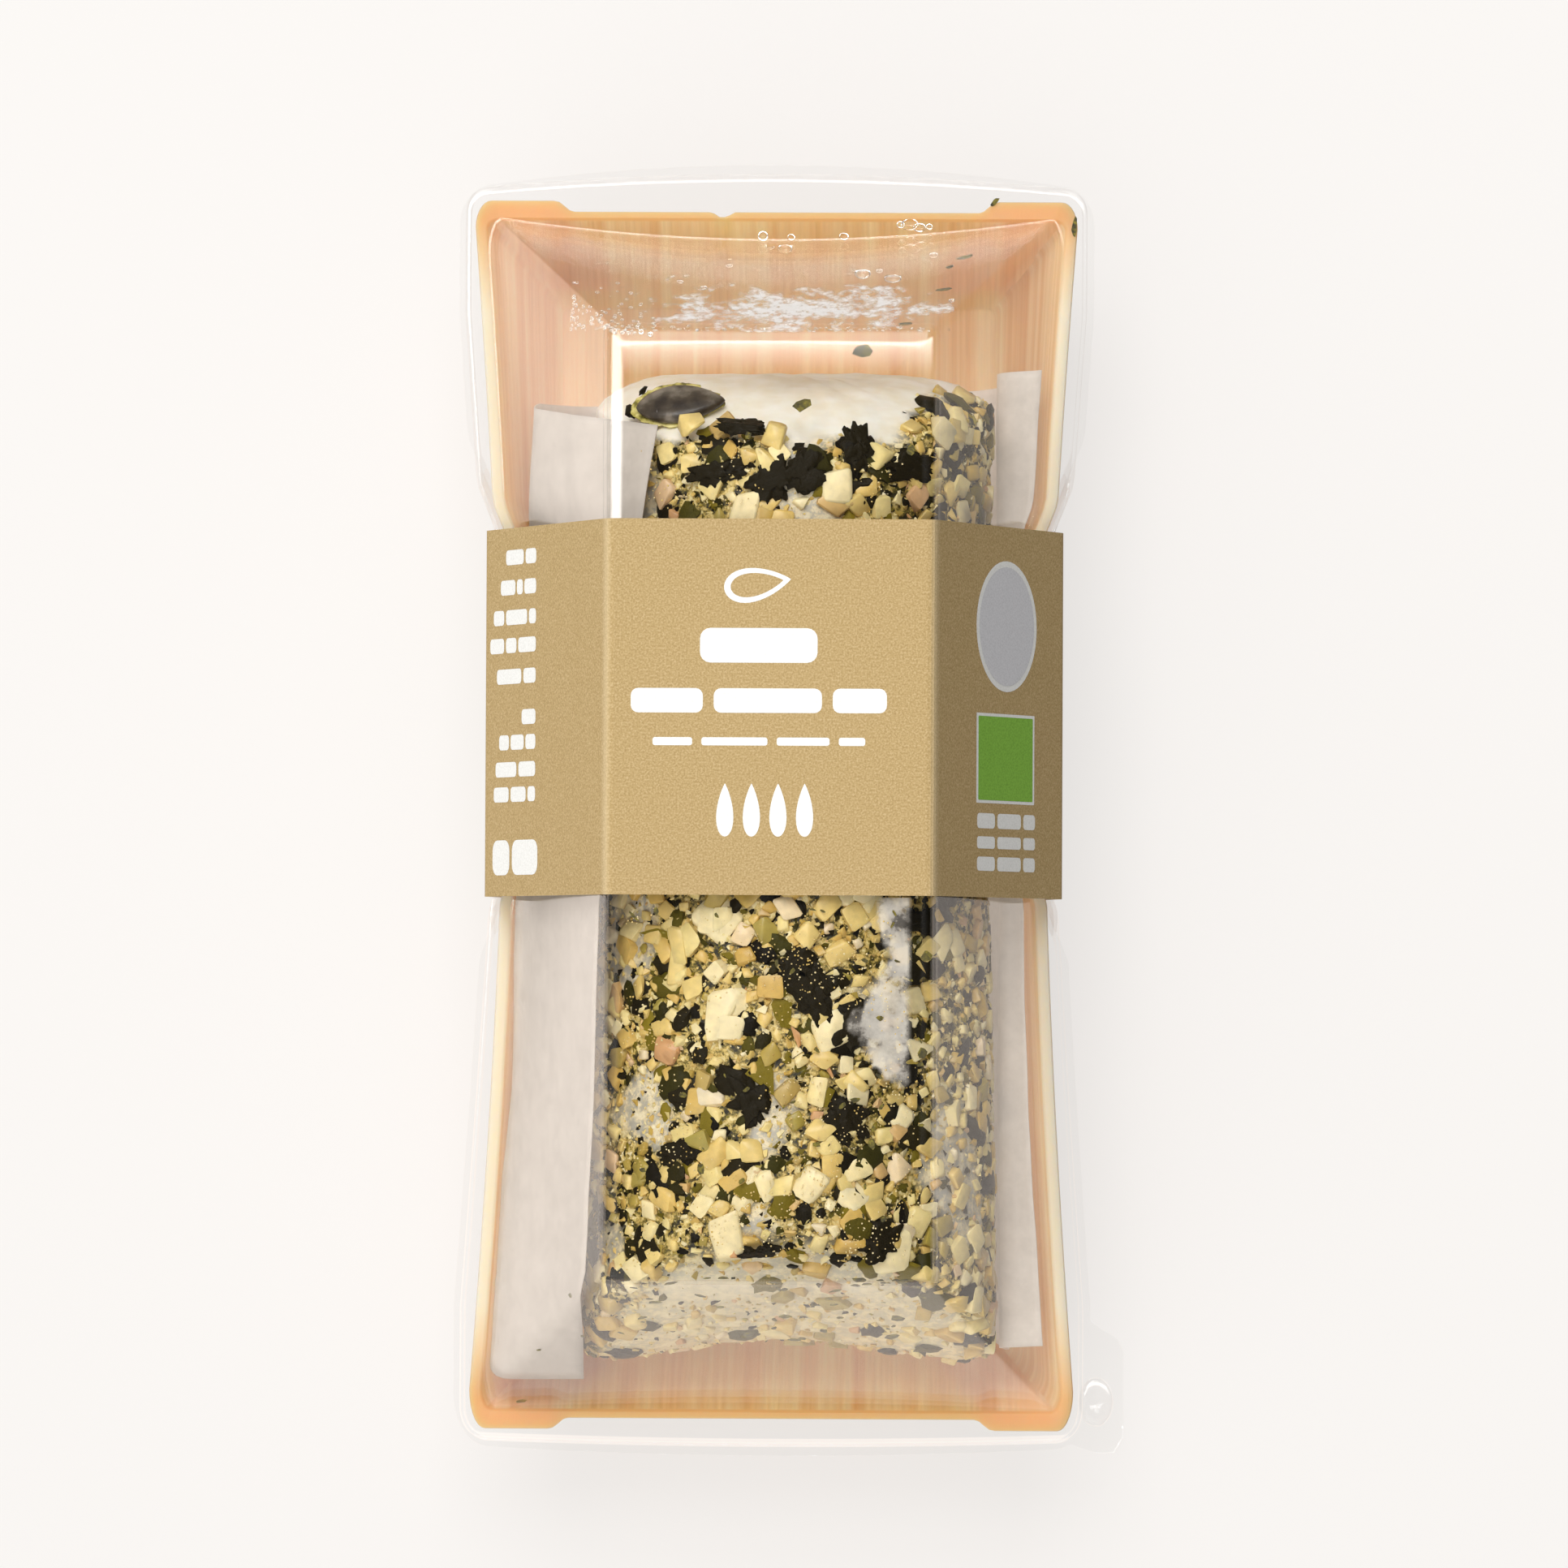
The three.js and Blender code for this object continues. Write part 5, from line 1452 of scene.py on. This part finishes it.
beads = []
while len(beads) < BEADS:
    x = draw.uniform(-14.6, 15.2)
    y = draw.uniform(-46, 35.5)
    if SLEEVE_LOW_END - 2 < y < SLEEVE_HIGH_END + 1:
        continue
    crowd = noise.noise(Vector((x * 0.16, y * 0.16, 11.0))) - 0.004 * y
    if crowd < draw.uniform(-0.1, 0.45):
        continue
    size = draw.uniform(0.1, 0.24)
    stick(beads, bead(), x, y, (size, size, size * 0.7), 0, UNDER_FILM + 0.05)
piece = joined("oil_droplets", beads, oil, 0)
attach(piece, "root")

# Sleeve
# A strip of uncoated kraft board, folded round the closed pack and glued underneath. It is printed khaki
# gold all over, and its two front folds are paler: worn print and a painted highlight. The CAD solid has its
# shape.
sleeve = frame["nodes"]["sleeve"]
board, tree = new_material("printed kraft board")
place = add_node(tree, "TexCoord").outputs["Object"]
pebble = add_node(tree, "TexNoise", {"Vector": place, "Scale": 5200.0, "Detail": 2.0, "Roughness": 0.6})
ink = add_node(
    tree, "ValToRGB", {"Fac": pebble}, stops=[(0.34, "#ae925e"), (0.68, "#cfb586"), (0.5, "#bda16d")],
)
outwards = add_node(tree, "NewGeometry").outputs["Normal"]
facing = add_node(tree, "SeparateXYZ", {0: outwards})
end_on = add_node(tree, "Math", {0: facing.outputs["Y"]}, operation="ABSOLUTE")
cut_edge = add_node(tree, "MapRange", {"Value": end_on, "From Min": 0.6, "From Max": 0.9})
spot = add_node(tree, "SeparateXYZ", {0: place})
from_middle = add_node(tree, "Math", {0: spot.outputs["X"]}, operation="ABSOLUTE")
to_fold = add_node(tree, "Math", {0: from_middle, 1: (SLEEVE_FRONT_HALF + 0.15) * MM}, operation="SUBTRACT")
off_fold = add_node(tree, "Math", {0: to_fold}, operation="ABSOLUTE")
# Paler folds: partly worn print, partly a painted highlight on the round of each fold
fold = add_node(
    tree, "MapRange", {"Value": off_fold, "From Min": 0.5 * MM, "From Max": 0.1 * MM, "To Max": 0.3},
)
worn_and_highlit_folds = add_node(tree, "Mix", {0: fold, 6: ink, 7: linear("#f0dcb4")}, data_type="RGBA")
edged = add_node(tree, "Mix", {0: cut_edge, 6: worn_and_highlit_folds.outputs[2], 7: linear("#e3d3b0")}, data_type="RGBA")
tooth = add_node(tree, "Bump", {"Height": pebble, "Strength": 0.5, "Distance": 0.08 * MM})
skin = add_node(tree, "BsdfPrincipled", {"Base Color": edged.outputs[2], "Roughness": 0.75, "Normal": tooth})
add_node(tree, "OutputMaterial", {"Surface": skin})
sleeve.data.materials.clear()
sleeve.data.materials.append(board)

# Print on the sleeve
# White, green and grey offset ink, printed flat on the board as plain bars, discs and seed shapes. Places
# are in millimetres on each panel: across from its fold, or from the front's middle, and along the pack.
INK = 0.02
SIDE_PANEL = math.hypot(SLEEVE_SIDE_HALF - SLEEVE_FRONT_HALF, SLEEVE_TOP - SLEEVE_SIDE_HEIGHT)
DOWN_X = (SLEEVE_SIDE_HALF - SLEEVE_FRONT_HALF) / SIDE_PANEL
DOWN_Z = (SLEEVE_TOP - SLEEVE_SIDE_HEIGHT) / SIDE_PANEL
OUTLINE_POINTS = 40


def on_front(u, v, lift):
    return (u, v, SLEEVE_TOP + lift)


def on_left(u, v, lift):
    return (-SLEEVE_FRONT_HALF - u * DOWN_X - lift * DOWN_Z, v, SLEEVE_TOP - u * DOWN_Z + lift * DOWN_X)


def on_right(u, v, lift):
    return (SLEEVE_FRONT_HALF + u * DOWN_X + lift * DOWN_Z, v, SLEEVE_TOP - u * DOWN_Z + lift * DOWN_X)


def printed(name, shapes, material):
    """Flat shapes of ink on the board. Each is a panel, an outline, and the lift above the board."""
    points, faces = [], []
    for panel, outline, lift in shapes:
        ring = [panel(u, v, lift) for u, v in outline]
        start = len(points)
        points += ring
        order = list(range(start, start + len(ring)))
        a, b, c = (Vector(ring[i]) for i in (0, len(ring) // 3, 2 * len(ring) // 3))
        out = Vector(panel(0, 0, 1)) - Vector(panel(0, 0, 0))
        faces.append(order if (b - a).cross(c - a).dot(out) > 0 else order[::-1])
    made = new_piece(name, points, faces, material)
    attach(made, "root")
    return made


def bar(u0, u1, v0, v1, corner):
    """The outline of a bar with round corners."""
    outline = []
    for cu, cv, start in ((u1, v1, 0), (u0, v1, 90), (u0, v0, 180), (u1, v0, 270)):
        cu += -corner if cu == u1 else corner
        cv += -corner if cv == v1 else corner
        for step in range(5):
            turn = math.radians(start + step * 22.5)
            outline.append((cu + corner * math.cos(turn), cv + corner * math.sin(turn)))
    return outline


def disc(u, v, radius, count=48):
    """The outline of a disc."""
    turns = [2 * math.pi * i / count for i in range(count)]
    return [(u + radius * math.cos(t), v + radius * math.sin(t)) for t in turns]


def drop_shape(u, v, length, width, turn):
    """The outline of a seed that is pointed at one end."""
    outline = []
    for i in range(OUTLINE_POINTS):
        t = 2 * math.pi * i / OUTLINE_POINTS
        along = length / 2 * math.cos(t)
        across = width / 2 * math.sin(t) * math.sin(t / 2) ** 0.8
        x = u + along * math.cos(turn) - across * math.sin(turn)
        y = v + along * math.sin(turn) + across * math.cos(turn)
        outline.append((x, y))
    return outline


def dashes(start, end, v0, v1, lengths, gap):
    """Bars of given lengths in a row, scaled to fill a line."""
    scale = (end - start) / (sum(lengths) + gap * (len(lengths) - 1))
    row = []
    u = start
    for length in lengths:
        row.append(bar(u, u + length * scale, v0, v1, min(v1 - v0, length * scale) * 0.3))
        u += (length + gap) * scale
    return row


# White offset ink: a thin matt coat, in which the board's grain still shows a little
white_ink, tree = new_material("white offset ink")
place = add_node(tree, "TexCoord").outputs["Object"]
tooth = add_node(tree, "TexNoise", {"Vector": place, "Scale": 5200.0, "Detail": 2.0})
tones = add_node(tree, "ValToRGB", {"Fac": tooth}, stops=[(0.3, "#eeeeea"), (0.6, "#fbfbf8")])
bumps = add_node(tree, "Bump", {"Height": tooth, "Strength": 0.3, "Distance": 0.05 * MM})
skin = add_node(tree, "BsdfPrincipled", {"Base Color": tones, "Roughness": 0.6, "Normal": bumps})
add_node(tree, "OutputMaterial", {"Surface": skin})

seed_mark = drop_shape(-1.3, 21.4, 6.6, 4.2, 0.15)
seed_hole = drop_shape(-1.35, 21.4, 5.2, 2.9, 0.15)
ring_points = [on_front(u, v, INK) for u, v in seed_mark + seed_hole]
ring_faces = []
for i in range(OUTLINE_POINTS):
    following = (i + 1) % OUTLINE_POINTS
    ring_faces.append((i, following, OUTLINE_POINTS + following, OUTLINE_POINTS + i))
mark = new_piece("seed_mark", ring_points, ring_faces, white_ink)
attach(mark, "root")

front_shapes = dashes(-6.9, 4.6, 13.7, 17.1, [1.0], 0.0)
front_shapes += dashes(-13.65, 11.4, 8.8, 11.2, [4, 6, 3], 0.6)
front_shapes += dashes(-11.5, 9.3, 5.6, 6.4, [3, 5, 4, 2], 0.7)
front_shapes += [drop_shape(-4.4 + 2.6 * i, -0.7, 5.2, 2.1, math.pi / 2) for i in range(4)]
left_rows = [
    (25.6, 7.0, [3, 5]), (22.6, 8.2, [4, 2, 5]), (19.6, 9.8, [2, 6, 3]), (16.8, 10.6, [5, 3, 4]),
    (13.7, 9.0, [3, 6]), (9.6, 3.2, [2]), (7.1, 8.4, [3, 4, 3]), (4.4, 9.2, [4, 5]), (1.9, 9.6, [2, 4, 4]),
]
shapes = [(on_front, outline, INK) for outline in front_shapes]
for top, length, lengths in left_rows:
    row = dashes(16.2, 16.2 + length, top - 1.5, top, lengths, 0.5)
    shapes += [(on_left, outline, INK) for outline in row]
shapes += [(on_left, outline, INK) for outline in dashes(15.6, 26.0, -6.9, -3.4, [3, 2], 0.3)]
for v, height in ((-2.2, 1.5), (-4.2, 1.2), (-6.4, 1.4)):
    shapes += [(on_right, outline, INK) for outline in dashes(9.3, 21.8, v, v + height, [3, 4, 2], 0.4)]
shapes.append((on_right, bar(9.1, 21.6, 0.3, 9.2, 0.1), INK))
shapes.append((on_right, disc(15.5, 17.9, 6.5), INK))
printed("white_print", shapes, white_ink)

# Green and grey offset ink, in the same thin coat on a white ground
for colour, dark, light, outline in (
    ("green", "#78b02f", "#8cc63f", bar(9.5, 21.2, 0.6, 8.9, 0.1)),
    ("grey", "#d4d4d8", "#e2e2e6", disc(15.5, 17.9, 5.9)),
):
    field_ink, tree = new_material(colour + " offset ink")
    place = add_node(tree, "TexCoord").outputs["Object"]
    tooth = add_node(tree, "TexNoise", {"Vector": place, "Scale": 5200.0, "Detail": 2.0})
    tones = add_node(tree, "ValToRGB", {"Fac": tooth}, stops=[(0.3, dark), (0.6, light)])
    skin = add_node(tree, "BsdfPrincipled", {"Base Color": tones, "Roughness": 0.6})
    add_node(tree, "OutputMaterial", {"Surface": skin})
    printed(colour + "_print", [(on_right, outline, 2 * INK)], field_ink)

# Floor
# A plain pale table under the pack. It gives light of its own: an even pale tone to the eye, less to what
# stands on it, and to the film's mirror a warm strip that dies away from the lower left.
FLOOR_REACH = 1500
FLOOR_DROP = 0.03
ground, tree = new_material("pale table")
spot = add_node(tree, "SeparateXYZ", {0: add_node(tree, "TexCoord").outputs["Object"]})
path = add_node(tree, "LightPath")
bounced = add_node(
    tree, "MapRange",
    {"Value": spot.outputs["X"], "From Min": -0.1, "From Max": 0.08, "To Min": 0.5, "To Max": 0.1},
)
from_end = add_node(
    tree, "MapRange",
    {"Value": spot.outputs["Y"], "From Min": -0.07, "From Max": 0.085, "To Min": 1.1, "To Max": 0.22},
)
on_right = add_node(
    tree, "MapRange",
    {"Value": spot.outputs["X"], "From Min": 0.048, "From Max": 0.055, "To Min": 1.0, "To Max": 0.6},
)
on_left = add_node(
    tree, "MapRange",
    {"Value": spot.outputs["X"], "From Min": -0.048, "From Max": -0.056, "To Min": 0.0, "To Max": 1.0},
)
dimmed = add_node(tree, "Math", {0: from_end, 1: on_right}, operation="MULTIPLY")
mirrored = add_node(tree, "Mix", {0: on_left, 2: dimmed, 3: 1.4}, data_type="FLOAT")
unseen = add_node(
    tree, "Mix", {0: path.outputs["Is Singular Ray"], 2: bounced, 3: mirrored}, data_type="FLOAT",
)
glow = add_node(tree, "Mix", {0: path.outputs["Is Camera Ray"], 2: unseen, 3: 0.68}, data_type="FLOAT")
tone = add_node(
    tree, "Mix", {0: path.outputs["Is Singular Ray"], 6: linear("#fffdfb"), 7: linear("#fff1e6")},
    data_type="RGBA",
)
skin = add_node(
    tree, "BsdfPrincipled",
    {
        "Base Color": linear("#827f7c"), "Roughness": 0.8, "Emission Color": tone.outputs[2],
        "Emission Strength": glow,
    },
)
# From below it is clear, so that the pack's underside shows
below = add_node(tree, "NewGeometry").outputs["Backfacing"]
gap = add_node(tree, "BsdfTransparent")
one_sided = add_node(tree, "MixShader", {0: below, 1: skin, 2: gap})
add_node(tree, "OutputMaterial", {"Surface": one_sided})
signs = ((-1, -1), (1, -1), (1, 1), (-1, 1))
corners = [(sx * FLOOR_REACH, sy * FLOOR_REACH, -FLOOR_DROP) for sx, sy in signs]
floor = new_piece("floor", corners, [(0, 1, 2, 3)], ground)
floor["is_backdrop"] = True

# Light
# An even pale room, brightest overhead and darker on the right, and a soft light at the upper left. Film
# mirrors a bright window in it, and a dark patch where the camera stands.
WINDOW_GLOW = 17
# Where the window's two panes start to show and where they are full, along the way that a mirrored ray goes
WINDOW_EDGES = {
    "upper start": ("Y", 0.1, 0.28), "upper end": ("Y", 0.44, 0.34), "left start": ("X", -0.14, -0.3),
    "left end": ("Y", 0.02, 0.05), "foot": ("Z", 0.62, 0.7),
}
world = bpy.data.worlds.new("pale room")
world.use_nodes = True
tree = world.node_tree
tree.nodes.clear()
sky = add_node(tree, "TexCoord").outputs["Generated"]
way = add_node(tree, "SeparateXYZ", {0: sky})
across = add_node(
    tree, "MapRange",
    {"Value": way.outputs["X"], "From Min": -0.1, "From Max": 0.6, "To Min": 0.6, "To Max": 0.02},
)
upward = add_node(tree, "MapRange", {"Value": way.outputs["Z"], "To Min": 0.2, "To Max": 1.6})
nearer = add_node(
    tree, "MapRange",
    {"Value": way.outputs["Y"], "From Min": -1.0, "From Max": 0.1, "To Min": 3.2, "To Max": 1.0},
)
level = add_node(tree, "Math", {0: across, 1: upward}, operation="MULTIPLY")
room = add_node(tree, "Math", {0: level, 1: nearer}, operation="MULTIPLY")
mirrored = add_node(tree, "LightPath").outputs["Is Singular Ray"]
overhead = add_node(
    tree, "MapRange",
    {"Value": way.outputs["Z"], "From Min": 0.95, "From Max": 0.985, "To Min": 1, "To Max": 0.1},
)
dimmed = add_node(tree, "Mix", {0: mirrored, 2: 1.0, 3: overhead}, data_type="FLOAT")
dim_room = add_node(tree, "Math", {0: room, 1: dimmed}, operation="MULTIPLY")
edges = {}
for name, (axis, start, full) in WINDOW_EDGES.items():
    edges[name] = add_node(
        tree, "MapRange", {"Value": way.outputs[axis], "From Min": start, "From Max": full},
    )
upper = add_node(tree, "Math", {0: edges["upper start"], 1: edges["upper end"]}, operation="MULTIPLY")
left = add_node(tree, "Math", {0: edges["left start"], 1: edges["left end"]}, operation="MULTIPLY")
both = add_node(tree, "Math", {0: upper, 1: left}, operation="MAXIMUM")
window = add_node(tree, "Math", {0: both, 1: edges["foot"]}, operation="MULTIPLY")
pane = add_node(tree, "Math", {0: window, 1: mirrored}, operation="MULTIPLY")
strength = add_node(tree, "Math", {0: pane, 1: WINDOW_GLOW, 2: dim_room}, operation="MULTIPLY_ADD")
seen = add_node(tree, "LightPath").outputs["Is Camera Ray"]
backdrop = add_node(tree, "Mix", {0: seen, 2: strength, 3: 0.9}, data_type="FLOAT")
air = add_node(tree, "Background", {"Color": linear("#fffdfa"), "Strength": backdrop})
add_node(tree, "OutputWorld", {"Surface": air})
bpy.context.scene.world = world

KEY_PLACE = (-0.12, 0.65, 0.97)
KEY_SIZE = (0.8, 0.7)
KEY_POWER = 8.6
key = bpy.data.objects.new("key", bpy.data.lights.new("key", "AREA"))
key.data.shape = "RECTANGLE"
key.data.size, key.data.size_y = KEY_SIZE
key.data.energy = KEY_POWER
key.location = KEY_PLACE
key.data.use_nodes = True
tree = key.data.node_tree
tree.nodes.clear()
mirrored = add_node(tree, "LightPath").outputs["Is Singular Ray"]
unmirrored = add_node(tree, "Math", {0: 1.0, 1: mirrored}, operation="SUBTRACT")
lamp = add_node(tree, "Emission", {"Strength": unmirrored})
add_node(tree, "OutputLight", {"Surface": lamp})
key.rotation_euler = (-Vector(KEY_PLACE)).to_track_quat("-Z", "Y").to_euler()
bpy.context.scene.collection.objects.link(key)

# Camera
# Straight down on the pack that lies on its back, as the photograph looks at the standing pack. Distance,
# lean and roll, and the pixels that a millimetre of the front takes, are the photograph's.
PHOTO_SIDE = 1932
PIXELS_PER_MM = 12.6
CAMERA_DISTANCE = 875
CAMERA_AIM = (1.37, 1.87)
LEAN_RIGHT = math.radians(0.8)
LEAN_DOWN = math.radians(1.39)
ROLL = math.radians(-0.27)
SENSOR = 36
aim = Vector((*CAMERA_AIM, LID_TOP))
back = Vector((math.sin(LEAN_RIGHT), -math.sin(LEAN_DOWN), 1)).normalized()
up = Vector((math.sin(ROLL), math.cos(ROLL), 0))
right = up.cross(back).normalized()
up = back.cross(right)
camera = bpy.data.objects.new("camera", bpy.data.cameras.new("camera"))
camera.data.sensor_width = SENSOR
camera.data.lens = PIXELS_PER_MM * CAMERA_DISTANCE / PHOTO_SIDE * SENSOR
camera.data.clip_end = 20
turned = Matrix((right, up, back)).transposed().to_4x4()
camera.matrix_world = Matrix.Translation((aim + back * CAMERA_DISTANCE) * MM) @ turned
bpy.context.scene.collection.objects.link(camera)
bpy.context.scene.camera = camera
bpy.context.scene.view_settings.view_transform = "Standard"

low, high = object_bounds()
